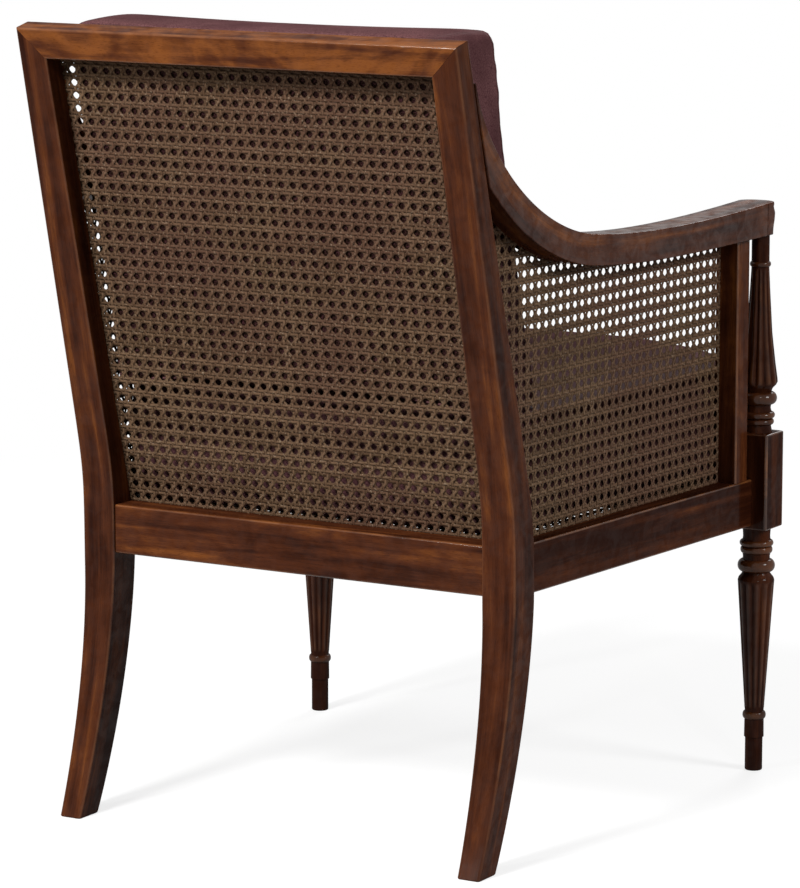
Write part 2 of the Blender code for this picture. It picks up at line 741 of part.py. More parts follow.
def seat_cane():
    front = FRONT_RAIL_BACK - SEAT_CANE_LAP
    notch = SIDE_RAIL_REAR_Y - CLEARANCE
    rear = REAR_RAIL_FRONT + SEAT_CANE_LAP
    inner = LEG_INNER_X - 2 * CLEARANCE
    half = [
        (side_rail_inner(front) + SEAT_CANE_LAP, front), (side_rail_inner(notch) + SEAT_CANE_LAP, notch),
        (inner, notch), (inner, rear),
    ]
    outline = half + [(-x, y) for x, y in reversed(half)]
    return upright(outline, SEAT_CANE_BOTTOM, SEAT_CANE_BOTTOM + CANE_THICKNESS)


# Cushions

def cushion(name, place):
    """A boxed cushion: a crowned face, a band round it and a flat face that it lies on.

    The place function takes across and along from -1 to 1, and through from 0 at the flat face to 1.
    """
    mesh = bmesh.new()
    count = CUSHION_CELLS
    even = [2 * i / count - 1 for i in range(count + 1)]
    steps = [0.4 * step + 0.6 * math.sin(math.pi / 2 * step) for step in even]
    first, last = steps[0], steps[-1]
    edge = [(step, first) for step in steps[:-1]]
    edge += [(last, step) for step in steps[:-1]]
    edge += [(step, last) for step in steps[:0:-1]]
    edge += [(first, step) for step in steps[:0:-1]]
    rings = []
    for band in range(CUSHION_BANDS + 1):
        rings.append([mesh.verts.new(place(*spot, band / CUSHION_BANDS)) for spot in edge])
    for low, high in zip(rings, rings[1:]):
        for i in range(len(edge)):
            j = (i + 1) % len(edge)
            mesh.faces.new((low[i], low[j], high[j], high[i]))
    mesh.faces.new(rings[0])
    face = dict(zip(edge, rings[-1]))
    for u in steps[1:-1]:
        for v in steps[1:-1]:
            face[u, v] = mesh.verts.new(place(u, v, 1.0))
    for u0, u1 in zip(steps, steps[1:]):
        for v0, v1 in zip(steps, steps[1:]):
            mesh.faces.new((face[u0, v0], face[u1, v0], face[u1, v1], face[u0, v1]))
    bmesh.ops.recalc_face_normals(mesh, faces=mesh.faces)
    return add(name, mesh, LEATHER, smooth=math.radians(60))


def corner(u, v, share):
    """Draws the corners of a cushion in by a share, so that they are rounded."""
    return 1 - share * (u * v) ** 16


def drawn(v):
    """Draws the side of a cushion in between its corners."""
    return 1 - CUSHION_DRAW * (1 - v * v)


def swell(through):
    return 1 - CUSHION_BULGE * (2 * through - 1) ** 2


def seat_cushion_top(u, v):
    seam = SEAT_CUSHION_WALL + SEAT_CUSHION_SEAM_RISE * (1 - u ** 4)
    return SEAT_CUSHION_BOTTOM + seam + SEAT_CUSHION_CROWN * (1 - u * u) * (1 - v * v)


def seat_cushion_place(u, v, through):
    scale = corner(u, v, SEAT_CUSHION_CORNER) * swell(through)
    middle = (SEAT_CUSHION_FRONT_Y + SEAT_CUSHION_REAR_Y) / 2
    y = middle + v * drawn(u) * scale * (SEAT_CUSHION_REAR_Y - SEAT_CUSHION_FRONT_Y) / 2
    half = side_cane_x(y) - SEAT_CUSHION_SIDE_GAP
    z = SEAT_CUSHION_BOTTOM + through * (seat_cushion_top(u, v) - SEAT_CUSHION_BOTTOM)
    return (u * drawn(v) * scale * half, y, z)


def back_cushion_bottom():
    """Height of the seat cushion where the back cushion's lower front edge stands on it."""
    y = raked_y(seat_cushion_top(0.0, 1.0), BACK_CUSHION_REST + BACK_CUSHION_WALL)
    v = between(y, -1.0, 1.0, SEAT_CUSHION_FRONT_Y, SEAT_CUSHION_REAR_Y)
    return seat_cushion_top(0.0, min(max(v, 0.0), 1.0)) + CLEARANCE


def back_cushion_place(u, v, through):
    scale = corner(u, v, BACK_CUSHION_CORNER) * swell(through)
    bottom = back_cushion_bottom()
    rise = HEIGHT + BACK_CUSHION_RISE - bottom
    z = bottom + rise * (1 + v * (scale if v > 0 else 1.0)) / 2
    thickness = BACK_CUSHION_WALL + BACK_CUSHION_CROWN * (1 - u * u) * (1 - v * v)
    y = raked_y(z, BACK_CUSHION_REST + through * thickness)
    half = min(arm_faces(y)[1], BACK_CANE_HALF_WIDTH) - BACK_CUSHION_SIDE_GAP
    return (u * drawn(v) * scale * half, y, z)


# Assembly

crest = crest_rail()
rear_rail = cross_rail("rear_seat_rail", REAR_RAIL_FRONT, REAR_RAIL_BACK, LEG_INNER_X - CLEARANCE)
front_rail = cross_rail("front_seat_rail", FRONT_RAIL_FRONT, FRONT_RAIL_BACK, BLOCK_INNER_X - CLEARANCE)

# The back panel's groove in the rear rail and the arms, and the room in front of it on the stiles
back_panel = add("back_cane", back_cane(0.0), CANE)
cut(back_panel, helper("back_cane_openings", back_openings()))
back_cane_groove = helper("back_cane_groove", back_cane(CLEARANCE))
cut(rear_rail, back_cane_groove)
back_cane_rebate = helper("back_cane_rebate", back_cane(CLEARANCE, forward=LEG_DEPTH_SEAT))

seat_panel = add("seat_cane", seat_cane(), CANE)
cut(seat_panel, helper("seat_cane_openings", seat_openings()))

for side, hand in ((1, "left"), (-1, "right")):
    leg = rear_leg("rear_leg_" + hand, side)
    post = front_leg("front_leg_" + hand, side)
    rail = side_rail("side_seat_rail_" + hand, side)
    rest = arm("arm_" + hand, side)
    stile_y = (SIDE_STILE_FRONT_Y + SIDE_STILE_BACK_Y) / 2
    stile_top = min(arm_underside(y) for y in (SIDE_STILE_FRONT_Y, SIDE_STILE_BACK_Y)) - CLEARANCE
    stile = side_stile("side_stile_" + hand, side, stile_top)

    # The crest's mitre, with its loose tongue
    add("mitre_tongue_" + hand, mitre_tongue(side, 0.0), BEECH)
    tongue_room = helper("mitre_tongue_room_" + hand, mitre_tongue(side, CLEARANCE))
    cut(crest, tongue_room)
    cut(leg, tongue_room)
    cut(leg, back_cane_rebate)

    # The side rail, into the rear leg and into the front leg's block
    x = SIDE_RAIL_OUTER_REAR - SIDE_RAIL_THICKNESS / 3
    rear_rail_reach = min(LEG_INNER_X + TENON_LENGTH, x - HALF_TENON - TENON_WALL)
    low = (side * (x - HALF_TENON), SIDE_RAIL_REAR_Y - TENON_ROOT, TENON_BOTTOM)
    high = (side * (x + HALF_TENON), SIDE_RAIL_REAR_Y + TENON_LENGTH, TENON_TOP)
    tenon("side_rail_rear_" + hand, rail, leg, low, high)
    x = SIDE_RAIL_OUTER_FRONT - SIDE_RAIL_THICKNESS / 3
    low = (side * (x - HALF_TENON), SIDE_RAIL_FRONT_Y - TENON_LENGTH, TENON_BOTTOM)
    high = (side * (x + HALF_TENON), SIDE_RAIL_FRONT_Y + TENON_ROOT, TENON_TOP)
    tenon("side_rail_front_" + hand, rail, post, low, high)

    # The rear rail, into the rear leg
    y = (REAR_RAIL_FRONT + REAR_RAIL_BACK) / 2
    low = (side * (LEG_INNER_X - TENON_ROOT), y - HALF_TENON, TENON_BOTTOM)
    high = (side * rear_rail_reach, y + HALF_TENON, TENON_TOP)
    tenon("rear_rail_" + hand, rear_rail, leg, low, high)

    # The front rail, into the front leg's block
    y = FRONT_RAIL_FRONT + FRONT_RAIL_THICKNESS / 3
    low = (side * (BLOCK_INNER_X - TENON_ROOT), y - HALF_TENON, TENON_BOTTOM)
    high = (side * (BLOCK_INNER_X + TENON_LENGTH), y + HALF_TENON, TENON_TOP)
    tenon("front_rail_" + hand, front_rail, post, low, high)

    # The side stile, into the rail below it and the arm above it
    x = side_rail_outer(stile_y) - SIDE_STILE_THICKNESS / 3
    reach = SIDE_STILE_TENON_WIDTH / 2
    low = (side * (x - HALF_TENON), stile_y - reach, SEAT_RAIL_TOP - SIDE_STILE_TENON_LENGTH)
    high = (side * (x + HALF_TENON), stile_y + reach, SEAT_RAIL_TOP + TENON_ROOT)
    tenon("side_stile_foot_" + hand, stile, rail, low, high)
    low = (side * (x - HALF_TENON), stile_y - reach, stile_top - TENON_ROOT)
    high = (side * (x + HALF_TENON), stile_y + reach, stile_top + SIDE_STILE_TENON_LENGTH)
    tenon("side_stile_head_" + hand, stile, rest, low, high)

    # The arm, on the post's round tenon and on a dowel from the stile
    cut(rest, back_cane_groove)
    cut(rest, helper("post_bore_" + hand, post_bore(side)))
    add("arm_dowel_" + hand, arm_dowel(side, 0.0), BEECH)
    dowel_bore = helper("arm_dowel_bore_" + hand, arm_dowel(side, CLEARANCE))
    cut(rest, dowel_bore)
    cut(leg, dowel_bore)

    # The side panel, in grooves all round
    side_panel = add("side_cane_" + hand, side_cane(side, 0.0), CANE)
    cut(side_panel, helper("side_cane_openings_" + hand, side_openings(side)))
    cane_groove = helper("side_cane_groove_" + hand, side_cane(side, CLEARANCE))
    for host in (rail, stile, rest, leg):
        cut(host, cane_groove)

    corner_block("corner_block_front_" + hand, side, FRONT_RAIL_BACK, 1)
    corner_block("corner_block_rear_" + hand, side, REAR_RAIL_FRONT, -1)

cushion("seat_cushion", seat_cushion_place)
cushion("back_cushion", back_cushion_place)
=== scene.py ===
"""Looks of the caned mahogany armchair: polished wood, woven cane and two loose leather cushions.

Metres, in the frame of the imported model: +Z up, the sitter faces -Y with the left hand at +X.
"""

import math

import bmesh
import bpy
import numpy as np
from mathutils import Matrix, Vector
from mathutils.bvhtree import BVHTree
from mathutils.kdtree import KDTree


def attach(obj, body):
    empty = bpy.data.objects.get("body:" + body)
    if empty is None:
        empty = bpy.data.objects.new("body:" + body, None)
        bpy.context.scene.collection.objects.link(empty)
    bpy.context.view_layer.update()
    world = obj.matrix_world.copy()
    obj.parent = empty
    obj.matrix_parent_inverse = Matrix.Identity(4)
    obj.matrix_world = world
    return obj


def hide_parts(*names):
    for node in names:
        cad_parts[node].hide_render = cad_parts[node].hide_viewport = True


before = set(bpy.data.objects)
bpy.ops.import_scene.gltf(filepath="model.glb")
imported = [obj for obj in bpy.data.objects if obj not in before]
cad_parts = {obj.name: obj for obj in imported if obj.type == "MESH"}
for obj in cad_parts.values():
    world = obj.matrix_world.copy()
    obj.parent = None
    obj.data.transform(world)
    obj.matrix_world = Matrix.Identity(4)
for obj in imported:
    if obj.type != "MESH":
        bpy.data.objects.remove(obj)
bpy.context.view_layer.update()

# Fits, and the rounding of the worn arrises. ARRIS is the solids' chamfer, which has a part in how the
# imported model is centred. GUARD keeps each flat face plain right up to its rounded arris.
CLEARANCE = 0.0003
ARRIS = 0.0022
GUARD = 0.0006
ROUND_STEPS = 4
LEG_ROUND = 0.0027
RAIL_ROUND = 0.0024
BLOCK_ROUND = 0.0020
ARM_ROUND = 0.0013
SHARP_ANGLE = 35
TURNED_SHARP_ANGLE = 38

# Back frame: crest rail and raked stiles
HEIGHT = 0.900
BACK_Y = 0.222
RAKE = math.radians(13.4)
RAKE_BEND = 0.018
RAKE_START_ABOVE_RAIL = 0.033
CREST_FACE = 0.0346
CREST_THICKNESS = 0.0262
CREST_STEPS = 40

# How pale and figured each board is, how rubbed its arrises are, and how polished it is
GRAIN_STEP = 0.37
CREST_BOARD = 1.0
LEG_BOARD = -0.30
LEG_RUB = 0.4
TURNED_BOARD = -1.00
SIDE_RAIL_BOARD = -0.80
POLISH = 0.13
ARM_POLISH = 0.30
DULL_POLISH = 0.09

# Rear legs, which carry on up as the back stiles
REAR_LEG_X = 0.2615
LEG_WIDTH_FOOT = 0.0278
LEG_WIDTH_SEAT = 0.0420
LEG_WIDTH_CREST = 0.0346
LEG_DEPTH_FOOT = 0.0370
LEG_DEPTH_SEAT = 0.0440
SABRE_SWEEP = 0.064
SABRE_POWER = 1.85
SABRE_BELOW_RAIL = 0.008
FOOT_DEPTH_POWER = 0.6
STILE_DEPTH_POWER = 0.7
LEG_STEPS = 70
TOE_HEIGHT = 0.0012
TOE_INSET = 0.0009
MITRE_LENGTH = 0.03
REBATE_LEAST_DEPTH = 0.001
REBATE_LEAST_WIDTH = 0.0005
REBATE_STEP = 0.0001

# Seat rails
SEAT_RAIL_TOP = 0.354
SEAT_RAIL_BOTTOM = 0.298
REAR_RAIL_SETBACK = 0.003
REAR_RAIL_THICKNESS = 0.042
SIDE_RAIL_SETBACK = 0.004
SIDE_RAIL_THICKNESS = 0.036
FRONT_RAIL_SETBACK = 0.0034
FRONT_RAIL_THICKNESS = 0.028
RAIL_STEPS = 30

# Front legs, turned in one piece with a square block at the seat
FRONT_LEG_X = 0.304
FRONT_LEG_Y = -0.3207
BLOCK_SIDE = 0.0454
BLOCK_BOTTOM = 0.2937
BLOCK_TOP = 0.4076
FOOT_RADIUS = 0.0104
FOOT_HEIGHT = 0.040
TAPER_RADIUS = 0.0216
VASE_RADIUS = 0.0224
POST_NECK_RADIUS = 0.0105
REEDS = 12
REED_DEPTH = 0.105
REED_RUB = 0.4
REED_FADE = 0.004
BEAD_RUB = 0.5
BEAD_POINTS = 9
ROLL_POINTS = 13
RING_POINTS = 144
TAPER_STEPS = 48
VASE_STEPS = 44
BLOCK_CORNER_REACH = 1.33

# Ends of the square block: distance in from the end, inset of the faces, wear
BLOCK_END = ((0.0, 0.0018, 0.0), (0.0005, 0.0007, 1.0), (0.0016, 0.0, 0.3), (0.0024, 0.0, 0.0))

# Arms
ARM_HEIGHT = 0.6794
ARM_THICKNESS = 0.0345
ARM_FRONT_SWELL = 0.0038
ARM_SWELL_Y = -0.100
ARM_OVERHANG_REAR = 0.0007
ARM_OVERHANG_FRONT = 0.0159
ARM_WIDTH_REAR = 0.0380
ARM_WIDTH_FRONT = 0.0450
ARM_NOSE = 0.0160
ARM_NOSE_DRAW = 0.35
ARM_TIP_DROP = 0.0397
ARM_TIP_THICKNESS = 0.0020
ARM_TIP_ANGLE = math.radians(15.5)
ARM_TIP_REACH = 0.473
ARM_SWEEP_Y = 0.067
ARM_SWEEP_RISE = 0.0005
ARM_SWEEP_ANGLE = math.radians(6.45)
ARM_SWEEP_REACH = 0.461
ARM_LEVEL_REACH = 0.303
ARM_FRONT_ANGLE = math.radians(3.5)
QUIRK_BEHIND_POST = 0.0125
QUIRK_WIDTH = 0.0016
QUIRK_DEPTH = 0.0011
ARM_SWEEP_STEPS = 56
ARM_LEVEL_STEPS = 40
NOSE_STEPS = 12
NOSE_TURNS = 14
ARM_HALVINGS = 40
QUIRK_CORE = 0.3
ARM_RUB = -0.3

# Side stiles behind the turned posts
SIDE_STILE_DEPTH = 0.0268
SIDE_STILE_THICKNESS = 0.0295
SIDE_STILE_GAP = 0.0112
STILE_STEPS = 24

# Caning
CANE_THICKNESS = 0.0025
CANE_GROOVE = 0.008
BACK_CANE_LAP = 0.0058
CREST_CANE_LAP = 0.012
SIDE_CANE_INSET_FRONT = 0.024
SIDE_CANE_INSET_REAR = 0.020
SEAT_CANE_LAP = 0.006
CANE_PITCH = 0.0149
STRAND_WIDTH = 0.0037
STRAND_THICKNESS = 0.0005
STRAND_CROWN = 0.70
PAIR_HALF = 0.0019
PAIR_LIFT = 0.00045
DIAGONAL_LIFT = 0.00050
CROSS_LEVEL = 0.00030
STRAND_LEAST_LENGTH = 0.004
STRAND_END_SHARE = 0.05
STRAND_SEED = 7
SIDE_CANE_STEPS = 24

# Seat cushion
SEAT_CUSHION_SETBACK = 0.0054
SEAT_CUSHION_REAR_GAP = -0.006
SEAT_CUSHION_SIDE_GAP = 0.007
SEAT_CUSHION_WALL = 0.128
SEAT_CUSHION_SEAM_RISE = 0.022
SEAT_CUSHION_CROWN = 0.005
SEAT_CUSHION_CORNER = 0.018
SEAT_CUSHION_CANE_GAP = 0.0035
SEAT_CUSHION_BLOCK_GAP = 0.0005
SEAT_CUSHION_LEG_GAP = 0.0015
SEAT_CUSHION_LEG_REACH = 0.003
SEAT_CUSHION_REAR_SWELL = 0.004
# Painted shade on the seat cushion: its underside, and a fading band beside the side caning
SEAT_PAINTED_SHADE_HEIGHT = 0.002
SEAT_PAINTED_SHADE_GAP = 0.013
SEAT_PAINTED_SHADE_FADE = 0.005
SEAT_PAINTED_SHADE_SIDE = 0.8

# Back cushion
BACK_CUSHION_SIDE_GAP = 0.0065
BACK_CUSHION_SHIFT = -0.0035
BACK_CUSHION_WALL = 0.112
BACK_CUSHION_CROWN = 0.018
BACK_CUSHION_RISE = 0.0115
BACK_CUSHION_CORNER = 0.012
BACK_CUSHION_REAR_CORNER = 0.038
BACK_CUSHION_FOOT_CORNER = 0.004
BACK_CUSHION_FOOT_FALL = 0.0030
BACK_CUSHION_LEAN = 0.0008
BACK_CUSHION_SAG = 0.0040
BACK_CUSHION_FRAME_GAP = 0.0008
# Painted shade on the back cushion's rear face, within this depth of the caning
BACK_PAINTED_SHADE_DEPTH = 0.003

# What both cushions share
CUSHION_CORNER_POWER = 16
CUSHION_EVEN_SHARE = 0.4
CUSHION_DRAW = 0.014
CUSHION_BULGE = 0.006
CUSHION_CELLS = 44
CUSHION_BANDS = 14
CUSHION_VOXEL = 0.006
CUSHION_SWELL = 0.014
STUFFING_FRAMES = 20
SMOOTHING = 0.5
SMOOTHING_PASSES = 8
SEAM_CELLS = 120
SEAM_HOLD = 1.35
SEAM_HOLD_REACH = 0.012
SEAM_RUB = 0.5
SEAM_RUB_REACH = 0.010
PIPING_RADIUS = 0.0024
PIPING_SINK = 0.0005
PIPING_STEP = 0.006
PIPING_POINTS = 10
PIPING_RUB = 0.35

# Floor, light and camera. A lamp has a name, a place, a target, a size and a power in watts.
FLOOR_REACH = 9.0
FLOOR_FADE_START = 0.9
FLOOR_FADE_END = 2.4
FLOOR_GLOW = 0.75
AMBIENT = 0.17
LAMPS = (
    ("key", (0.45, 3.4, 3.20), (0.0, 0.1, 0.5), 0.9, 192.0),
    ("sheen", (1.45, 3.3, 1.75), (0.0, 0.1, 0.6), 0.3, 30.0),
    ("fill", (0.5, -3.4, 2.4), (0.0, 0.0, 0.4), 1.8, 55.0),
    ("side", (-3.4, -0.3, 2.2), (-0.2, 0.0, 0.5), 1.2, 72.0),
    ("glint", (-3.0, 2.7, 3.0), (-0.1, 0.0, 0.5), 0.2, 14.0),
)
CAMERA_LENS = 173.25
CAMERA_SENSOR = 36.0
CAMERA_RANGE = 100.0
CAMERA_PLACE = (-2.48697, 4.14682, 1.23069)
CAMERA_LOOK = (0.5063, -0.8461, -0.1668)

# Values that follow from the sizes
RAKE_SLOPE = math.tan(RAKE)
RAKE_SINE = math.sin(RAKE)
RAKE_COSINE = math.cos(RAKE)
RAKE_START = SEAT_RAIL_TOP + RAKE_START_ABOVE_RAIL
SABRE_TOP = SEAT_RAIL_BOTTOM - SABRE_BELOW_RAIL
LEG_DEPTH_CREST = CREST_THICKNESS / RAKE_COSINE
LEG_INNER_X = REAR_LEG_X - LEG_WIDTH_SEAT / 2
CREST_HALF_LENGTH = REAR_LEG_X + LEG_WIDTH_CREST / 2
REAR_RAIL_BACK = BACK_Y - REAR_RAIL_SETBACK
REAR_RAIL_FRONT = REAR_RAIL_BACK - REAR_RAIL_THICKNESS
BLOCK_FRONT = FRONT_LEG_Y - BLOCK_SIDE / 2
BLOCK_BACK = FRONT_LEG_Y + BLOCK_SIDE / 2
BLOCK_INNER_X = FRONT_LEG_X - BLOCK_SIDE / 2
FRONT_RAIL_FRONT = BLOCK_FRONT + FRONT_RAIL_SETBACK
FRONT_RAIL_BACK = FRONT_RAIL_FRONT + FRONT_RAIL_THICKNESS
SIDE_RAIL_REAR_Y = BACK_Y - LEG_DEPTH_SEAT - CLEARANCE
SIDE_RAIL_FRONT_Y = BLOCK_BACK + CLEARANCE
SIDE_RAIL_OUTER_REAR = REAR_LEG_X + LEG_WIDTH_SEAT / 2 - SIDE_RAIL_SETBACK
SIDE_RAIL_OUTER_FRONT = FRONT_LEG_X + SIDE_RAIL_SETBACK
SIDE_STILE_FRONT_Y = BLOCK_BACK + SIDE_STILE_GAP
SIDE_STILE_BACK_Y = SIDE_STILE_FRONT_Y + SIDE_STILE_DEPTH
ARM_TIP_Z = HEIGHT - ARM_TIP_DROP
ARM_REAR_Y = BACK_Y + RAKE_SLOPE * (ARM_TIP_Z - RAKE_START) - LEG_DEPTH_CREST
ARM_OUTER_REAR = CREST_HALF_LENGTH + ARM_OVERHANG_REAR
ARM_OUTER_FRONT = FRONT_LEG_X + ARM_OVERHANG_FRONT
BACK_CANE_DEPTH = CREST_THICKNESS + CLEARANCE
BACK_CANE_HALF_WIDTH = LEG_INNER_X + BACK_CANE_LAP
SEAT_CANE_BOTTOM = SEAT_RAIL_TOP + CLEARANCE
SEAT_CUSHION_BOTTOM = SEAT_CANE_BOTTOM + CANE_THICKNESS + CLEARANCE
SEAT_CUSHION_FRONT_Y = BLOCK_FRONT + SEAT_CUSHION_SETBACK
SEAT_CUSHION_REAR_Y = REAR_RAIL_FRONT - SEAT_CUSHION_REAR_GAP
BACK_CUSHION_REST = BACK_CANE_DEPTH + CANE_THICKNESS + CLEARANCE
CHAIR_REAR_Y = BACK_Y + RAKE_SLOPE * (HEIGHT - RAKE_START) - ARRIS * RAKE_SINE
CENTRING = Vector((0.0, -(BLOCK_FRONT + CHAIR_REAR_Y) / 2, 0.0))


# Node trees

# Place of the colour among the results of a mix
COLOUR_RESULT = 2


class Graph:
    """Adds nodes to a tree. An input takes a plain value or another node's output."""

    def __init__(self, tree):
        self.tree = tree

    def add(self, kind, inputs=None, **settings):
        made = self.tree.nodes.new(kind)
        for name, value in settings.items():
            setattr(made, name, value)
        for key, value in (inputs or {}).items():
            self.feed(made, key, value)
        return made

    def feed(self, made, key, value):
        if isinstance(key, int):
            socket = made.inputs[key]
        else:
            socket = next(s for s in made.inputs if key in (s.identifier, s.name))
        if isinstance(value, bpy.types.NodeSocket):
            self.tree.links.new(value, socket)
        else:
            socket.default_value = value

    def put(self, kind, inputs=None, **settings):
        """The first output of a new node."""
        return self.add(kind, inputs, **settings).outputs[0]

    def math(self, operation, *values):
        return self.put("ShaderNodeMath", dict(enumerate(values)), operation=operation)

    def stretch(self, vector, scale):
        return self.put("ShaderNodeVectorMath", {0: vector, 1: scale}, operation="MULTIPLY")

    def split(self, vector):
        return self.add("ShaderNodeSeparateXYZ", {0: vector}).outputs

    def held(self, name, output="Fac"):
        """What the mesh holds under a name."""
        return self.add("ShaderNodeAttribute", attribute_name=name).outputs[output]

    def place(self):
        return self.add("ShaderNodeTexCoord").outputs["Object"]

    def noise(self, vector, scale=1.0, detail=2.0, roughness=0.5, distortion=0.0):
        inputs = {
            "Vector": vector, "Scale": scale, "Detail": detail,
            "Roughness": roughness, "Distortion": distortion,
        }
        return self.add("ShaderNodeTexNoise", inputs).outputs["Fac"]

    def ease(self, value, low, high, start=0.0, end=1.0):
        inputs = {"Value": value, "From Min": low, "From Max": high, "To Min": start, "To Max": end}
        return self.put("ShaderNodeMapRange", inputs, interpolation_type="SMOOTHSTEP")

    def blend(self, share, low, high):
        inputs = {"Factor_Float": share, "A_Color": low, "B_Color": high}
        return self.add("ShaderNodeMix", inputs, data_type="RGBA").outputs[COLOUR_RESULT]


def node_group(name, kind, inputs, outputs):
    """A node tree with named sockets, as (tree, graph, input node, output node)."""
    tree = bpy.data.node_groups.new(name, kind)
    for label, socket, *default in inputs:
        made = tree.interface.new_socket(label, in_out="INPUT", socket_type="NodeSocket" + socket)
        if default:
            made.default_value = default[0]
    for label, socket in outputs:
        tree.interface.new_socket(label, in_out="OUTPUT", socket_type="NodeSocket" + socket)
    graph = Graph(tree)
    return tree, graph, graph.add("NodeGroupInput"), graph.add("NodeGroupOutput")


def timber_figure():
    """Streaks along the grain, a ribbon figure across it, and open pores."""
    tree, graph, given, made = node_group(
        "timber_figure", "ShaderNodeTree",
        [
            ("Place", "Vector"), ("Board", "Float", 0.0), ("Dark", "Color"), ("Middle", "Color"),
            ("Light", "Color"), ("Ribbon", "Float", 0.5), ("Pores", "Float", 0.5),
        ],
        [("Colour", "Color"), ("Height", "Float")],
    )
    place = given.outputs["Place"]
    streak = graph.noise(graph.stretch(place, (4.0, 60.0, 60.0)), 1.0, 4.0, 0.55, 0.4)
    ribbon = graph.noise(graph.stretch(place, (16.0, 22.0, 22.0)), 1.0, 2.0, 0.5, 1.4)
    fibre = graph.noise(graph.stretch(place, (45.0, 1100.0, 1100.0)), 1.0, 2.0, 0.6)
    pore = graph.noise(graph.stretch(place, (140.0, 2600.0, 2600.0)), 1.0, 1.0, 0.5)
    board = given.outputs["Board"]
    figured = graph.math("MULTIPLY", given.outputs["Ribbon"], graph.math("ADD", board, 1.0))
    ribbon = graph.math("MULTIPLY", graph.math("SUBTRACT", ribbon, 0.5), figured)
    fibre = graph.math("MULTIPLY", graph.math("SUBTRACT", fibre, 0.5), 0.20)
    tone = graph.math("ADD", graph.math("ADD", streak, ribbon), fibre)
    tone = graph.math("ADD", tone, graph.math("MULTIPLY", board, 0.15))
    low = graph.blend(graph.ease(tone, 0.24, 0.56), given.outputs["Dark"], given.outputs["Middle"])
    high = graph.blend(graph.ease(tone, 0.48, 0.82), low, given.outputs["Light"])
    open_pore = graph.math("MULTIPLY", graph.ease(pore, 0.56, 0.70), given.outputs["Pores"])
    graph.feed(made, "Colour", graph.blend(open_pore, high, given.outputs["Dark"]))
    graph.feed(made, "Height", graph.math("SUBTRACT", graph.math("MULTIPLY", fibre, 0.3), open_pore))
    return tree


def handling_wear():
    """Rubbed arrises that are paler, and a gloss that varies from handling."""
    tree, graph, given, made = node_group(
        "handling_wear", "ShaderNodeTree",
        [
            ("Colour", "Color"), ("Edge", "Float", 0.0), ("Place", "Vector"), ("Rubbed", "Color"),
            ("Gloss", "Float", 0.28), ("Spread", "Float", 0.10), ("Polish", "Float", 0.15),
            ("Bright", "Float", 0.8),
        ],
        [("Colour", "Color"), ("Roughness", "Float"), ("Coat", "Float")],
    )
    patch = graph.noise(given.outputs["Place"], 22.0, 3.0, 0.6)
    smear = graph.noise(given.outputs["Place"], 60.0, 3.0, 0.6, 0.8)
    rubbed = graph.math("MULTIPLY", given.outputs["Edge"], graph.ease(patch, 0.38, 0.66, 0.15, 0.85))
    graph.feed(made, "Colour", graph.blend(rubbed, given.outputs["Colour"], given.outputs["Rubbed"]))
    shift = graph.math("MULTIPLY", graph.math("SUBTRACT", smear, 0.5), given.outputs["Spread"])
    shift = graph.math("ADD", shift, graph.math("MULTIPLY", rubbed, 0.05))
    graph.feed(made, "Roughness", graph.math("ADD", given.outputs["Gloss"], shift))
    arris = graph.math("MULTIPLY", given.outputs["Edge"], given.outputs["Bright"])
    polish = graph.math("MULTIPLY", given.outputs["Polish"], graph.ease(smear, 0.30, 0.70, 0.6, 1.4))
    graph.feed(made, "Coat", graph.math("ADD", polish, arris))
    return tree


TIMBER_FIGURE = timber_figure()
HANDLING_WEAR = handling_wear()


def shaded(name):
    """A new material, as (material, graph, principled shader)."""
    material = bpy.data.materials.new(name)
    material.use_nodes = True
    return material, Graph(material.node_tree), material.node_tree.nodes["Principled BSDF"]


def colour(red, green, blue):
    return (red, green, blue, 1.0)


def timber(name, own_grain, finish):
    """A wood finish. With its own grain, the mesh says where the grain runs, how rubbed its edges are,
    and what board and polish it has."""
    material, graph, shader = shaded(name)
    where = graph.held("grain", "Vector") if own_grain else graph.place()
    figure = graph.add("ShaderNodeGroup", node_tree=TIMBER_FIGURE)
    wear = graph.add("ShaderNodeGroup", node_tree=HANDLING_WEAR)
    for group in (figure, wear):
        for socket in group.inputs:
            if socket.name in finish:
                socket.default_value = finish[socket.name]
        graph.feed(group, "Place", where)
    for group, value in ((figure, "Board"), (wear, "Edge"), (wear, "Polish")):
        graph.feed(group, value, graph.held(value.lower()) if own_grain else 0.0)
    graph.feed(wear, "Colour", figure.outputs["Colour"])
    bump = graph.add("ShaderNodeBump", {"Height": figure.outputs["Height"], "Distance": 0.0002})
    graph.feed(bump, "Strength", finish["Relief"])
    graph.feed(shader, "Base Color", wear.outputs["Colour"])
    graph.feed(shader, "Roughness", wear.outputs["Roughness"])
    graph.feed(shader, "Coat Weight", wear.outputs["Coat"])
    graph.feed(shader, "Normal", bump.outputs["Normal"])
    shader.inputs["Coat Roughness"].default_value = 0.12
    shader.inputs["Specular IOR Level"].default_value = 0.0
    return material


MAHOGANY = timber("polished_mahogany", True, {
    "Dark": colour(0.022, 0.0055, 0.0024),
    "Middle": colour(0.072, 0.0195, 0.0068),
    "Light": colour(0.200, 0.062, 0.0140),
    "Rubbed": colour(0.210, 0.075, 0.0220),
    "Gloss": 0.30, "Spread": 0.12, "Bright": 0.55,
    "Ribbon": 0.36, "Pores": 0.55, "Relief": 0.25,
})
BEECH = timber("bare_beech", False, {
    "Dark": colour(0.200, 0.110, 0.050),
    "Middle": colour(0.340, 0.210, 0.105),
    "Light": colour(0.440, 0.290, 0.150),
    "Gloss": 0.62, "Spread": 0.12, "Bright": 0.0,
    "Ribbon": 0.15, "Pores": 0.35, "Relief": 0.5,
})


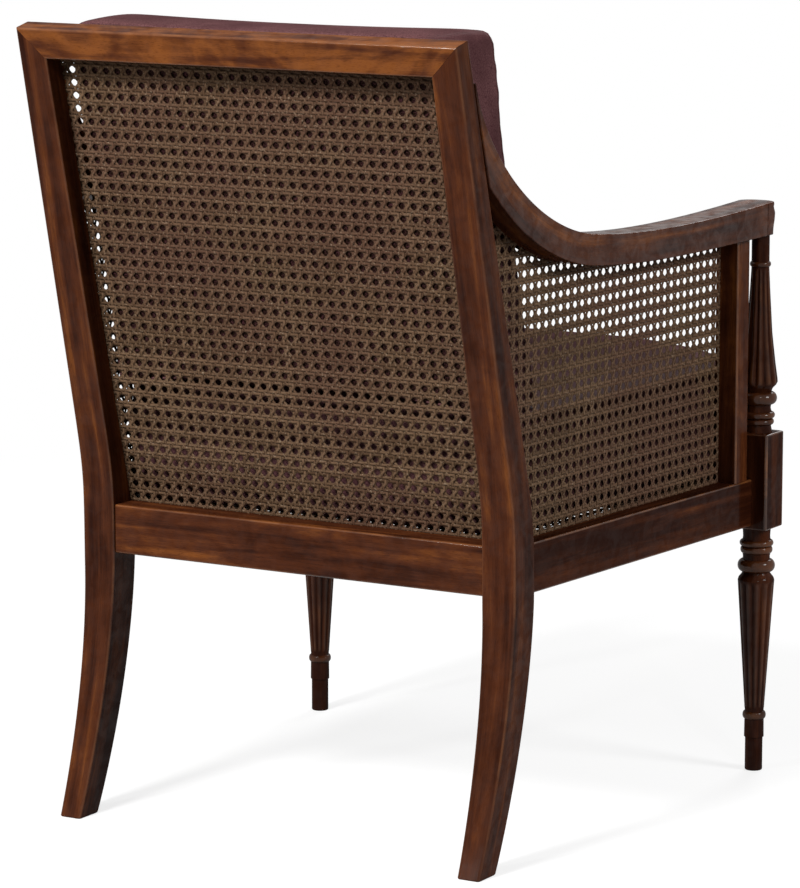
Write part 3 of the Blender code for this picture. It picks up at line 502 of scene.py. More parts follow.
def cane_finish():
    """Stained cane: strands that differ a little, with fibres along them, painted highlight specks on the
    high spots and painted shade along each strand's edges.
    """
    material, graph, shader = shaded("stained_cane")
    place = graph.place()
    along = graph.held("fibre", "Vector")
    fibre = graph.noise(graph.stretch(along, (30.0, 2400.0, 1.0)), 1.0, 2.0, 0.6)
    stain = graph.noise(place, 14.0, 4.0, 0.6)
    speck = graph.noise(place, 420.0, 2.0, 0.6)
    tone = graph.math("MULTIPLY", graph.held("strand"), 0.45)
    tone = graph.math("ADD", tone, graph.math("MULTIPLY", fibre, 0.35))
    tone = graph.math("ADD", tone, graph.math("MULTIPLY", stain, 0.35))
    base = graph.blend(
        graph.ease(tone, 0.25, 0.90), colour(0.070, 0.0385, 0.0205), colour(0.166, 0.099, 0.057),
    )
    reach = graph.math("DIVIDE", graph.split(along)[1], STRAND_WIDTH / 2)
    bow = graph.math("MULTIPLY", reach, reach)
    patina = graph.ease(graph.noise(place, 6.0, 3.0, 0.55), 0.42, 0.66, 0.0, 0.55)
    base = graph.blend(patina, base, colour(0.104, 0.049, 0.034))
    # Painted shade: each strand darkens towards its edges, where shade falls between strands
    base = graph.blend(graph.ease(bow, 0.15, 0.60, 0.0, 0.6), base, colour(0.030, 0.016, 0.009))
    # Painted highlight: pale specks on the raised parts of the strands
    raised = graph.ease(graph.held("height"), 0.2, 1.0, 0.15, 0.80)
    pale = graph.math("MULTIPLY", graph.ease(speck, 0.56, 0.70), raised)
    graph.feed(shader, "Base Color", graph.blend(pale, base, colour(0.300, 0.225, 0.155)))
    graph.feed(shader, "Roughness", graph.ease(fibre, 0.3, 0.7, 0.48, 0.66))
    shader.inputs["Specular IOR Level"].default_value = 0.04
    relief = graph.math("SUBTRACT", graph.math("MULTIPLY", fibre, 0.2), bow)
    bump = graph.add("ShaderNodeBump", {"Height": relief, "Strength": 1.0, "Distance": 0.0006})
    graph.feed(shader, "Normal", bump.outputs["Normal"])
    return material


def leather_finish():
    """Aubergine leather: a pebbled grain, paler where rubbed, with painted shade in its fine creases and
    where it lies against the caning or underneath.
    """
    material, graph, shader = shaded("aubergine_leather")
    place = graph.place()
    pebble = graph.add("ShaderNodeTexVoronoi", {"Vector": place, "Scale": 620.0}, feature="F1")
    coarse = graph.add("ShaderNodeTexVoronoi", {"Vector": place, "Scale": 300.0}, feature="DISTANCE_TO_EDGE")
    mottle = graph.noise(place, 9.0, 5.0, 0.62, 0.4)
    cloud = graph.noise(place, 34.0, 4.0, 0.6)
    base = graph.blend(
        graph.ease(mottle, 0.30, 0.70), colour(0.079, 0.0330, 0.0350), colour(0.148, 0.0660, 0.0680),
    )
    worn = graph.math("MULTIPLY", graph.held("rub"), graph.ease(cloud, 0.35, 0.70, 0.25, 1.0))
    base = graph.blend(worn, base, colour(0.165, 0.078, 0.074))
    # Painted shade: nearly black where the cushion lies against the caning or underneath
    base = graph.blend(graph.held("painted_shade"), base, colour(0.012, 0.0058, 0.0036))
    crease = graph.ease(coarse.outputs["Distance"], 0.0, 0.10)
    # Painted shade: the grain's crease lines are coloured darker
    graph.feed(shader, "Base Color", graph.blend(crease, colour(0.060, 0.0220, 0.0250), base))
    graph.feed(shader, "Roughness", graph.ease(cloud, 0.30, 0.72, 0.36, 0.54))
    shader.inputs["Specular IOR Level"].default_value = 0.0
    shader.inputs["Coat Weight"].default_value = 0.03
    shader.inputs["Coat Roughness"].default_value = 0.34
    relief = graph.math("ADD", graph.math("MULTIPLY", pebble.outputs["Distance"], -0.45), crease)
    bump = graph.add("ShaderNodeBump", {"Height": relief, "Strength": 0.30, "Distance": 0.0005})
    graph.feed(shader, "Normal", bump.outputs["Normal"])
    return material


CANE = cane_finish()
LEATHER = leather_finish()


# Mesh helpers

made_pieces = []


def finish_piece(name, data, material, slot, *nodes):
    """Puts a mesh that is built in the chair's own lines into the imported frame."""
    data.transform(Matrix.Translation(CENTRING))
    data.materials.clear()
    data.materials.append(material)
    piece = bpy.data.objects.new(name, data)
    bpy.context.scene.collection.objects.link(piece)
    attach(piece, "root")
    if nodes:
        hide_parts(*nodes)
    made_pieces.append(piece)
    return piece


def skin(rings):
    """A closed mesh through rings of (x, y, z) points."""
    count = len(rings[0])
    points = [point for ring in rings for point in ring]
    faces = []
    for r in range(len(rings) - 1):
        low, high = r * count, (r + 1) * count
        for i in range(count):
            j = (i + 1) % count
            faces.append((low + i, low + j, high + j, high + i))
    faces.append(tuple(range(count))[::-1])
    faces.append(tuple(range(len(points) - count, len(points))))
    data = bpy.data.meshes.new("skin")
    data.from_pydata(points, [], faces)
    outward(data)
    return data


def outward(data):
    """Turns a mesh's faces outwards."""
    mesh = bmesh.new()
    mesh.from_mesh(data)
    bmesh.ops.recalc_face_normals(mesh, faces=mesh.faces)
    mesh.to_mesh(data)
    mesh.free()


def set_values(data, name, kind, values):
    """Gives each point of a mesh a named value."""
    field = "vector" if kind == "FLOAT_VECTOR" else "value"
    attribute = data.attributes.new(name, kind, "POINT")
    attribute.data.foreach_set(field, np.asarray(values, np.float32).ravel())


def wooden(name, node, rings, lengths, outlines, board=0.0, polish=POLISH, sharp=SHARP_ANGLE, rub=1.0):
    """A mahogany piece. Each ring has a length along the grain, and an outline with each point's place
    in the section and edge value. A high board value makes the piece paler and more figured."""
    data = skin(rings)
    start = GRAIN_STEP * len(made_pieces)
    grain, edges = [], []
    for length, outline in zip(lengths, outlines):
        grain += [(start + length, start + a, 2 * start + b) for a, b, _ in outline]
        edges += [rub * edge for _, _, edge in outline]
    set_values(data, "grain", "FLOAT_VECTOR", grain)
    set_values(data, "edge", "FLOAT", edges)
    set_values(data, "board", "FLOAT", [board] * len(grain))
    set_values(data, "polish", "FLOAT", [polish] * len(grain))
    data.shade_smooth()
    data.set_sharp_from_angle(angle=math.radians(sharp))
    return finish_piece(name, data, MAHOGANY, "mahogany", node)


def rounded(x0, x1, y0, y1, radius):
    """(x, y, edge) points round a rectangle with rounded arrises, flat right up to each round."""
    points = []
    corners = ((x1, y1, -1, -1), (x0, y1, 1, -1), (x0, y0, 1, 1), (x1, y0, -1, 1))
    for index, (x, y, inward_x, inward_y) in enumerate(corners):
        middle = (x + inward_x * radius, y + inward_y * radius)
        turns = [math.pi / 2 * (index + i / ROUND_STEPS) for i in range(ROUND_STEPS + 1)]
        arc = []
        for i, turn in enumerate(turns):
            edge = math.sin(math.pi * i / ROUND_STEPS)
            arc.append((middle[0] + radius * math.cos(turn), middle[1] + radius * math.sin(turn), edge))
        first, last = turns[0], turns[-1]
        points.append((arc[0][0] + GUARD * math.sin(first), arc[0][1] - GUARD * math.cos(first), 0.0))
        points += arc
        points.append((arc[-1][0] - GUARD * math.sin(last), arc[-1][1] + GUARD * math.cos(last), 0.0))
    return points


def between(y, front, rear, front_y, rear_y):
    """A value that runs straight from front to rear."""
    return front + (rear - front) * (y - front_y) / (rear_y - front_y)


def spread(low, high, count):
    return [low + (high - low) * i / count for i in range(count + 1)]


# Lines of the frame

def back_line(z):
    """Straight raked line of the back faces, carried on down past the bend."""
    return BACK_Y + RAKE_SLOPE * (z - RAKE_START)


def leg_back(z):
    """Y of the rear leg's back face: sabre foot below, raked stile above."""
    bend = RAKE_SLOPE * RAKE_BEND * math.log1p(math.exp((z - RAKE_START) / RAKE_BEND))
    below = max(0.0, (SABRE_TOP - z) / SABRE_TOP)
    return BACK_Y + bend + SABRE_SWEEP * below ** SABRE_POWER


def leg_depth(z):
    if z > SEAT_RAIL_TOP:
        share = (z - SEAT_RAIL_TOP) / (HEIGHT - SEAT_RAIL_TOP)
        return LEG_DEPTH_SEAT + (LEG_DEPTH_CREST - LEG_DEPTH_SEAT) * share ** STILE_DEPTH_POWER
    share = min(z / SABRE_TOP, 1.0)
    return LEG_DEPTH_FOOT + (LEG_DEPTH_SEAT - LEG_DEPTH_FOOT) * share ** FOOT_DEPTH_POWER


def leg_front(z):
    return leg_back(z) - leg_depth(z)


def leg_width(z):
    if z > SEAT_RAIL_TOP:
        share = (z - SEAT_RAIL_TOP) / (HEIGHT - SEAT_RAIL_TOP)
        return LEG_WIDTH_SEAT + (LEG_WIDTH_CREST - LEG_WIDTH_SEAT) * share
    share = min(z / SABRE_TOP, 1.0)
    return LEG_WIDTH_FOOT + (LEG_WIDTH_SEAT - LEG_WIDTH_FOOT) * share


def raked(x, depth, down):
    """A point of the back frame: depth in from its back face, down from its top edge."""
    y = back_line(HEIGHT) - down * RAKE_SINE - depth * RAKE_COSINE
    z = HEIGHT - down * RAKE_COSINE + depth * RAKE_SINE
    return (x, y, z)


def raked_y(z, depth):
    """Y of the raked plane that lies a depth in from the back faces, at height z."""
    return back_line(z) - depth / RAKE_COSINE


def side_rail_outer(y):
    ends = (SIDE_RAIL_OUTER_FRONT, SIDE_RAIL_OUTER_REAR)
    return between(y, *ends, SIDE_RAIL_FRONT_Y, SIDE_RAIL_REAR_Y)


def side_rail_inner(y):
    return side_rail_outer(y) - SIDE_RAIL_THICKNESS


def side_cane_x(y):
    insets = (SIDE_CANE_INSET_FRONT, SIDE_CANE_INSET_REAR)
    return side_rail_outer(y) - between(y, *insets, SIDE_RAIL_FRONT_Y, SIDE_RAIL_REAR_Y)


def mitre_down(x):
    """How far below the top edge the mitre lies at a distance x from the middle."""
    return (CREST_HALF_LENGTH - x) * CREST_FACE / LEG_WIDTH_CREST


# Back frame

def leg_section(z):
    """(x, y, edge) round the left leg at a height, with the rebate for the back cane."""
    half = leg_width(z) / 2
    inner, front = REAR_LEG_X - half, leg_front(z)
    points = rounded(inner, REAR_LEG_X + half, front, leg_back(z), LEG_ROUND)
    shelf = raked_y(z, BACK_CANE_DEPTH - CLEARANCE)
    wall = BACK_CANE_HALF_WIDTH + CLEARANCE
    cut = shelf - front > REBATE_LEAST_DEPTH and wall - inner > REBATE_LEAST_WIDTH
    if cut and z > SEAT_RAIL_TOP - CANE_GROOVE:
        count = ROUND_STEPS + 3
        points[2 * count:3 * count] = [
            (inner, shelf + GUARD, 0.0), (inner, shelf, 0.5), (inner + GUARD, shelf, 0.0), (wall, shelf, 0.0),
            (wall, front + GUARD, 0.0), (wall, front, 0.5), (wall + GUARD, front, 0.0),
        ]
    return points


def rear_leg(hand, side):
    top = HEIGHT - CREST_FACE - LEG_DEPTH_CREST
    notch = SEAT_RAIL_TOP - CANE_GROOVE
    heights = sorted({*spread(TOE_HEIGHT, top, LEG_STEPS), notch, notch + REBATE_STEP})
    half = LEG_WIDTH_FOOT / 2 - TOE_INSET
    toe_front, toe_back = leg_front(0.0) + TOE_INSET, leg_back(0.0) - TOE_INSET
    toe = rounded(REAR_LEG_X - half, REAR_LEG_X + half, toe_front, toe_back, LEG_ROUND)
    rings, lengths, outlines = [], [], []
    for z, points in [(0.0, toe)] + [(z, leg_section(z)) for z in heights]:
        rings.append([(side * x, y, z) for x, y, _ in points])
        lengths.append(z)
        outlines.append([(x - REAR_LEG_X, y - leg_back(z), edge) for x, y, edge in points])
    half = LEG_WIDTH_CREST / 2
    mitre = rounded(REAR_LEG_X - half, REAR_LEG_X + half, -CREST_THICKNESS, 0.0, LEG_ROUND)
    rings.append([raked(side * x, -depth, mitre_down(x) + CLEARANCE) for x, depth, _ in mitre])
    lengths.append(top + MITRE_LENGTH)
    outlines.append([(x - REAR_LEG_X, depth, edge) for x, depth, edge in mitre])
    wooden(
        "rear_leg_%s_wood" % hand, "rear_leg_" + hand, rings, lengths, outlines,
        board=LEG_BOARD, rub=LEG_RUB,
    )


def crest_rail():
    outline = rounded(0.0, CREST_THICKNESS, 0.0, CREST_FACE, LEG_ROUND)
    shares = spread(-1.0, 1.0, CREST_STEPS)
    rings = []
    for share in shares:
        ring = []
        for depth, down, _ in outline:
            reach = CREST_HALF_LENGTH - down * LEG_WIDTH_CREST / CREST_FACE
            ring.append(raked(share * reach, depth, down))
        rings.append(ring)
    lengths = [share * CREST_HALF_LENGTH for share in shares]
    wooden("crest_rail_wood", "crest_rail", rings, lengths, [outline] * len(rings), board=CREST_BOARD)


# Seat frame

def rail(name, node, stations, board=0.0, polish=POLISH):
    """A seat rail through (middle point, unit vector across, half thickness, length) stations."""
    middle = (SEAT_RAIL_BOTTOM + SEAT_RAIL_TOP) / 2
    half_height = (SEAT_RAIL_TOP - SEAT_RAIL_BOTTOM) / 2
    rings, lengths, outlines = [], [], []
    for place, across, half, length in stations:
        outline = rounded(-half, half, -half_height, half_height, RAIL_ROUND)
        rings.append([(place.x + across.x * a, place.y + across.y * a, middle + b) for a, b, _ in outline])
        lengths.append(length)
        outlines.append(outline)
    wooden(name, node, rings, lengths, outlines, board=board, polish=polish)


def cross_rail(name, node, front, back, half):
    """A rail that runs straight across the chair."""
    middle = (front + back) / 2
    stations = []
    for x in spread(-half, half, RAIL_STEPS):
        stations.append((Vector((x, middle, 0.0)), Vector((0.0, 1.0, 0.0)), (back - front) / 2, x))
    rail(name, node, stations)


def side_rail(hand, side):
    stations = []
    for y in spread(SIDE_RAIL_FRONT_Y, SIDE_RAIL_REAR_Y, RAIL_STEPS):
        x = side * (side_rail_outer(y) - SIDE_RAIL_THICKNESS / 2)
        stations.append((Vector((x, y, 0.0)), Vector((side, 0.0, 0.0)), SIDE_RAIL_THICKNESS / 2, y))
    rail("side_rail_%s_wood" % hand, "side_seat_rail_" + hand, stations, SIDE_RAIL_BOARD, DULL_POLISH)


# Front legs

def bead(middle, height, core, radius, points=BEAD_POINTS):
    """Half-round bead on a turned core, as (height, radius, reeding, rub) stations."""
    stations = []
    for i in range(points + 2):
        turn = math.pi * (i / (points + 1) - 0.5)
        swell = core + (radius - core) * math.cos(turn)
        stations.append((middle + height / 2 * math.sin(turn), swell, 0.0, BEAD_RUB * math.cos(turn)))
    return stations


def reeded(low, high, low_radius, high_radius, count):
    """A straight reeded run whose reeds die out at both ends."""
    stations = []
    for share in spread(0.0, 1.0, count):
        z = low + (high - low) * share
        depth = min(1.0, (z - low) / REED_FADE, (high - z) / REED_FADE)
        stations.append((z, low_radius + (high_radius - low_radius) * share, math.sqrt(max(depth, 0.0))))
    return stations


def leg_turning():
    """(height, radius, reeding, rub) stations from the floor up to the block."""
    foot, taper = FOOT_RADIUS, TAPER_RADIUS
    ankle, under = FOOT_HEIGHT, BLOCK_BOTTOM
    return [
        (0.0, foot - 0.0010), (0.0008, foot - 0.0002), (0.0018, foot), (ankle, foot),
        (ankle + 0.0006, foot + 0.0013), (ankle + 0.0215, foot + 0.0011),
        *bead(ankle + 0.0270, 0.0090, foot + 0.0010, foot + 0.0035),
        (ankle + 0.0335, foot + 0.0008),
        *reeded(ankle + 0.0360, under - 0.0640, foot + 0.0012, taper, TAPER_STEPS),
        (under - 0.0625, taper - 0.0002), (under - 0.0600, taper - 0.0011),
        (under - 0.0570, taper - 0.0035), (under - 0.0550, taper - 0.0050),
        *bead(under - 0.0457, 0.0150, taper - 0.0055, taper + 0.0005, ROLL_POINTS),
        (under - 0.0347, taper - 0.0057),
        *bead(under - 0.0267, 0.0080, taper - 0.0050, taper - 0.0026),
        *bead(under - 0.0187, 0.0075, taper - 0.0050, taper - 0.0016),
        (under - 0.0110, taper - 0.0056), (under - 0.0002, taper - 0.0050),
    ]


def post_turning(top):
    """(height, radius, reeding, rub) stations from the block up to the underside of the arm."""
    over, neck = BLOCK_TOP, POST_NECK_RADIUS
    swell = VASE_RADIUS - neck
    waist = over + 0.0564
    collar = top - 0.0348
    vase = collar - 0.0040 - waist
    shape = (
        (0.0, 0.84), (0.025, 1.0), (0.10, 0.88), (0.19, 0.73),
        (0.365, 0.49), (0.45, 0.38), (0.82, 0.11), (1.0, 0.0),
    )
    run = []
    for share in spread(0.0, 1.0, VASE_STEPS):
        part = float(np.interp(share, *zip(*shape)))
        depth = min(1.0, share / 0.03, (1.0 - share) / 0.04)
        run.append((waist + share * vase, neck + part * swell, math.sqrt(max(depth, 0.0))))
    return [
        (over + 0.0002, neck + 0.50 * swell), (over + 0.0070, neck + 0.38 * swell),
        *bead(over + 0.0124, 0.0070, neck + 0.42 * swell, neck + 0.67 * swell),
        *bead(over + 0.0202, 0.0080, neck + 0.42 * swell, neck + 0.76 * swell),
        (over + 0.0290, neck + 0.32 * swell),
        *bead(over + 0.0404, 0.0150, neck + 0.38 * swell, neck + 0.94 * swell, ROLL_POINTS),
        (over + 0.0522, neck + 0.50 * swell),
        *run,
        *bead(collar, 0.0060, neck, neck + 0.0019),
        (collar + 0.0040, neck), (top, neck),
    ]


def rounded_square(turn, half, radius):
    """Distance from the middle to the side of a square block with rounded arrises."""
    c, s = abs(math.cos(turn)), abs(math.sin(turn))
    c, s = max(c, s), min(c, s)
    reach = half / c
    if reach * s <= half - radius:
        return reach
    middle = half - radius
    along = middle * (c + s)
    return along + math.sqrt(max(radius ** 2 - 2 * middle ** 2 + along ** 2, 0.0))


def front_leg(hand, side):
    turns = [2 * math.pi * i / RING_POINTS for i in range(RING_POINTS)]
    rings, lengths, outlines = [], [], []

    def add_ring(z, reaches, edges):
        places = [(reach * math.cos(turn), reach * math.sin(turn)) for turn, reach in zip(turns, reaches)]
        rings.append([(side * FRONT_LEG_X + x, FRONT_LEG_Y + y, z) for x, y in places])
        lengths.append(z)
        outlines.append([(x, y, edge) for (x, y), edge in zip(places, edges)])

    def round_ring(z, radius, reeding=0.0, rub=0.0):
        reaches, edges = [], []
        for turn in turns:
            crown = abs(math.cos(REEDS * turn / 2))
            reaches.append(radius * (1 - REED_DEPTH * reeding * (1 - crown)))
            edges.append(max(rub, REED_RUB * reeding * crown ** 4))
        add_ring(z, reaches, edges)

    def square_ring(z, inset, worn):
        half = BLOCK_SIDE / 2 - inset
        reaches = [rounded_square(turn, half, BLOCK_ROUND) for turn in turns]
        add_ring(z, reaches, [max(worn, float(reach > half * BLOCK_CORNER_REACH)) for reach in reaches])

    for station in leg_turning():
        round_ring(*station)
    for away, inset, worn in BLOCK_END:
        square_ring(BLOCK_BOTTOM + away, inset, worn)
    for away, inset, worn in reversed(BLOCK_END):
        square_ring(BLOCK_TOP - away, inset, worn)
    for station in post_turning(ARM_UNDER_POST - CLEARANCE):
        round_ring(*station)
    wooden(
        "front_leg_%s_wood" % hand, "front_leg_" + hand, rings, lengths, outlines,
        board=TURNED_BOARD, polish=DULL_POLISH, sharp=TURNED_SHARP_ANGLE,
    )


# Arms

def cubic(points, share):
    """Place and direction on a cubic curve with four control points."""
    a, b, c, d = points
    rest = 1 - share
    place = a * rest ** 3 + b * 3 * rest ** 2 * share + c * 3 * rest * share ** 2 + d * share ** 3
    direction = (b - a) * rest ** 2 + (c - b) * 2 * rest * share + (d - c) * share ** 2
    return place, direction.normalized()


def arm_top():
    """(y, z) places and directions along the arm's upper edge, from its tip on the stile forward."""
    tip = Vector((leg_front(ARM_TIP_Z) - CLEARANCE - ARM_TIP_THICKNESS, ARM_TIP_Z))
    low = Vector((ARM_SWEEP_Y, ARM_HEIGHT + ARM_SWEEP_RISE))
    end = Vector((FRONT_LEG_Y, ARM_HEIGHT))
    lean = Vector((-math.tan(ARM_TIP_ANGLE), -1.0)) * ARM_TIP_REACH * (tip.y - low.y)
    slope = Vector((1.0, math.tan(ARM_SWEEP_ANGLE)))
    level = (low.x - end.x) * ARM_LEVEL_REACH
    rear = (tip, tip + lean, low + slope * ARM_SWEEP_REACH * (tip.x - low.x), low)
    dip = Vector((1.0, -math.tan(ARM_FRONT_ANGLE)))
    front = (low, low - slope * level, end + dip * level, end)
    places = [cubic(rear, share) for share in spread(0.0, 1.0, ARM_SWEEP_STEPS)]
    places += [cubic(front, share) for share in spread(0.0, 1.0, ARM_LEVEL_STEPS)[1:]]
    return places


def arm_thickness(y):
    """Whole thickness of the arm, which swells towards the nose."""
    share = min(max((ARM_SWELL_Y - y) / (ARM_SWELL_Y - FRONT_LEG_Y), 0.0), 1.0)
    return ARM_THICKNESS + ARM_FRONT_SWELL * share ** 2


def arm_depth(place, downward):
    """Thickness of the arm under a place on its upper edge, less where it runs up the stile."""
    whole = arm_thickness(place.x)

    def clear(depth):
        point = place + downward * depth
        return point.x <= leg_front(point.y) - CLEARANCE

    if clear(whole):
        return whole
    low, high = 0.0, whole
    for _ in range(ARM_HALVINGS):
        middle = (low + high) / 2
        if clear(middle):
            low = middle
        else:
            high = middle
    return low


ARM_STATIONS = []
for top_place, top_direction in arm_top():
    top_downward = Vector((-top_direction.y, top_direction.x))
    if top_place.x < ARM_SWELL_Y:
        top_downward = Vector((0.0, -1.0))
    ARM_STATIONS.append((top_place, top_downward, arm_depth(top_place, top_downward)))


def arm_line(lift):
    """(y, z) points along the arm in front of the stile, a lift above its underside."""
    free = [station for station in ARM_STATIONS if station[2] == arm_thickness(station[0].x)]
    return [place + downward * (depth - lift) for place, downward, depth in free]


def arm_underside(y):
    line = arm_line(0.0)
    for rear, front in zip(line, line[1:]):
        if front.x <= y <= rear.x:
            return between(y, front.y, rear.y, front.x, rear.x)
    return line[-1].y if y < line[-1].x else line[0].y


ARM_UNDER_POST = arm_underside(FRONT_LEG_Y)


def arm_faces(y):
    """X of the outer and inner faces of the arm at y, drawn in round the nose."""
    outer = between(y, ARM_OUTER_FRONT, ARM_OUTER_REAR, FRONT_LEG_Y, ARM_REAR_Y)
    width = between(y, ARM_WIDTH_FRONT, ARM_WIDTH_REAR, FRONT_LEG_Y, ARM_REAR_Y)
    past = min(max((FRONT_LEG_Y - y) / ARM_NOSE, 0.0), 1.0)
    drawn = ARM_NOSE_DRAW * ARM_WIDTH_FRONT * (1 - math.sqrt(1 - past * past))
    return outer - drawn, outer - width + drawn


def nose_profile(down):
    """How far the nose stands back, down its height: a lip, a small cove, and a bulge that dies away."""
    downs = (0.0, 0.0032, 0.0060, 0.0088, 0.0130, 0.0220, 0.0300, 0.0383)
    backs = (0.0030, 0.0018, 0.0042, 0.0016, 0.0, 0.0010, 0.0036, 0.0066)
    return float(np.interp(down, downs, backs))


def arm_outline(width, depth):
    """(across, down, edge) round the arm, with enough points down the sides for the nose."""
    radius = min(ARM_ROUND, depth / 3, width / 3)
    points = rounded(0.0, width, 0.0, depth, radius)
    count = ROUND_STEPS + 3
    low, high = radius + 2 * GUARD, depth - radius - 2 * GUARD
    inner = [(0.0, down, 0.0) for down in reversed(spread(low, high, NOSE_STEPS))]
    outer = [(width, down, 0.0) for down in spread(low, high, NOSE_STEPS)]
    return points[:2 * count] + inner + points[2 * count:] + outer


def arm(hand, side):
    quirk_y = FRONT_LEG_Y + QUIRK_BEHIND_POST
    downward = Vector((0.0, -1.0))
    depth = arm_thickness(FRONT_LEG_Y)
    stations = [(*station, 0.0) for station in ARM_STATIONS]
    end = ARM_STATIONS[-1][0]
    for shift in (0.5, 0.25, -0.25, -0.5):
        y = quirk_y + shift * QUIRK_WIDTH
        rear = next(i for i, station in enumerate(stations) if station[0].x < y)
        above, below = stations[rear - 1][0], stations[rear][0]
        z = between(y, below.y, above.y, below.x, above.x)
        stations.insert(rear, (Vector((y, z)), downward, arm_thickness(y), 0.0))
    for turn in spread(0.0, 90.0, NOSE_TURNS)[1:]:
        past = math.sin(math.radians(turn))
        stations.append((end + Vector((-ARM_NOSE * past, 0.0)), downward, depth, past))
    rings, lengths, outlines = [], [], []
    run = 0.0
    last = stations[0][0]
    for place, downward, depth, past in stations:
        run += (place - last).length
        last = place
        outer, inner = arm_faces(place.x)
        width = outer - inner
        outline = arm_outline(width, depth)
        in_quirk = abs(place.x - quirk_y) < QUIRK_CORE * QUIRK_WIDTH
        ring = []
        for across, down, _ in outline:
            y, z = place + downward * down
            outer, inner = arm_faces(y)
            share = across / width
            if in_quirk:
                share = min(max(share, QUIRK_DEPTH / width), 1 - QUIRK_DEPTH / width)
            back = nose_profile(down) * past
            width_here = outer - inner - 2 * back
            ring.append((side * (outer - back - share * width_here), y + back, z))
        rings.append(ring)
        lengths.append(run)
        outlines.append(outline)
    wooden(
        "arm_%s_wood" % hand, "arm_" + hand, rings, lengths, outlines, polish=ARM_POLISH, rub=ARM_RUB,
    )


def side_stile(hand, side):
    top = min(arm_underside(y) for y in (SIDE_STILE_FRONT_Y, SIDE_STILE_BACK_Y)) - CLEARANCE
    middle = (SIDE_STILE_FRONT_Y + SIDE_STILE_BACK_Y) / 2
    half = SIDE_STILE_THICKNESS / 2
    outline = rounded(-half, half, -SIDE_STILE_DEPTH / 2, SIDE_STILE_DEPTH / 2, RAIL_ROUND)
    lengths = spread(SEAT_RAIL_TOP + CLEARANCE, top, STILE_STEPS)
    rings = []
    for z in lengths:
        ring = []
        for across, along, _ in outline:
            y = middle + along
            ring.append((side * (side_rail_outer(y) - half + across), y, z))
        rings.append(ring)
    outlines = [outline] * len(rings)
    wooden("side_stile_%s_wood" % hand, "side_stile_" + hand, rings, lengths, outlines)


# Caning

def settled(graph, geometry, smooth, finish):
    """The end of a tree: shades a geometry, makes its instances real and gives it its finish."""
    shown = graph.put("GeometryNodeSetShadeSmooth", {"Geometry": geometry, "Shade Smooth": smooth})
    real = graph.put("GeometryNodeRealizeInstances", {"Geometry": shown})
    return graph.put("GeometryNodeSetMaterial", {"Geometry": real, "Material": finish})


def cane_weave():
    """Geometry nodes that lift each strand over and under the others and give it its section.

    The strands come in as lines in the panel's own plane. Their run says along which way the
    lifting goes and from where, and their rise how far it goes.
    """
    tree, graph, given, made = node_group(
        "cane_weave", "GeometryNodeTree",
        [
            ("Strands", "Geometry"), ("Pitch", "Float", CANE_PITCH), ("Width", "Float", STRAND_WIDTH),
            ("Thickness", "Float", STRAND_THICKNESS), ("Finish", "Material"),
        ],
        [("Weave", "Geometry")],
    )
    tree.is_modifier = True

    def named(kind, name):
        return graph.put("GeometryNodeInputNamedAttribute", {"Name": name}, data_type=kind)

    def keep(geometry, kind, name, value):
        inputs = {"Geometry": geometry, "Name": name, "Value": value}
        return graph.put("GeometryNodeStoreNamedAttribute", inputs, data_type=kind, domain="POINT")

    def position():
        return graph.split(graph.put("GeometryNodeInputPosition"))

    lines = graph.put("GeometryNodeMeshToCurve", {"Mesh": given.outputs["Strands"]})
    along_x, along_y, start = graph.split(named("FLOAT_VECTOR", "run"))
    x, y, _ = position()
    way = graph.math("ADD", graph.math("MULTIPLY", along_x, x), graph.math("MULTIPLY", along_y, y))
    turn = graph.math("MULTIPLY", graph.math("DIVIDE", way, given.outputs["Pitch"]), 2 * math.pi)
    wave = graph.math("SINE", graph.math("ADD", turn, start))
    lift = graph.math("MULTIPLY", wave, named("FLOAT", "rise"))
    offset = graph.put("ShaderNodeCombineXYZ", {"Z": lift})
    lifted = graph.put("GeometryNodeSetPosition", {"Geometry": lines, "Offset": offset})
    reach = graph.add("GeometryNodeSplineParameter").outputs["Length"]
    lifted = keep(lifted, "FLOAT", "along", reach)
    upright = graph.put("GeometryNodeSetCurveNormal", {"Curve": lifted}, mode="Z_UP")
    width = given.outputs["Width"]
    section = graph.put("GeometryNodeCurvePrimitiveQuadrilateral", {
        "Bottom Width": width, "Top Width": graph.math("MULTIPLY", width, STRAND_CROWN),
        "Height": given.outputs["Thickness"], "Offset": 0.0,
    }, mode="TRAPEZOID")
    profile = keep(section, "FLOAT", "across", position()[0])
    woven = graph.put("GeometryNodeCurveToMesh", {
        "Curve": upright, "Profile Curve": profile, "Fill Caps": True,
    })
    fibre = graph.put("ShaderNodeCombineXYZ", {
        "X": named("FLOAT", "along"), "Y": named("FLOAT", "across"), "Z": named("FLOAT", "strand"),
    })
    woven = keep(woven, "FLOAT_VECTOR", "fibre", fibre)
    level = graph.math("DIVIDE", position()[2], CANE_THICKNESS / 2)
    woven = keep(woven, "FLOAT", "height", graph.math("ABSOLUTE", level))
    graph.feed(made, "Weave", settled(graph, woven, False, given.outputs["Finish"]))
    return tree


def modifier_input(tree, name):
    """Identifier of a tree's named input."""
    given = [item for item in tree.interface.items_tree if item.in_out == "INPUT"]
    return next(item.identifier for item in given if item.name == name)


def grown(name, data, tree, values):
    """The plain mesh that a tree of geometry nodes makes from a mesh."""
    source = bpy.data.objects.new(name, data)
    bpy.context.scene.collection.objects.link(source)
    modifier = source.modifiers.new(name, "NODES")
    modifier.node_group = tree
    for key, value in values.items():
        modifier[modifier_input(tree, key)] = value
    graph = bpy.context.evaluated_depsgraph_get()
    made = bpy.data.meshes.new_from_object(source.evaluated_get(graph))
    bpy.data.objects.remove(source)
    return made


CANE_WEAVE = cane_weave()


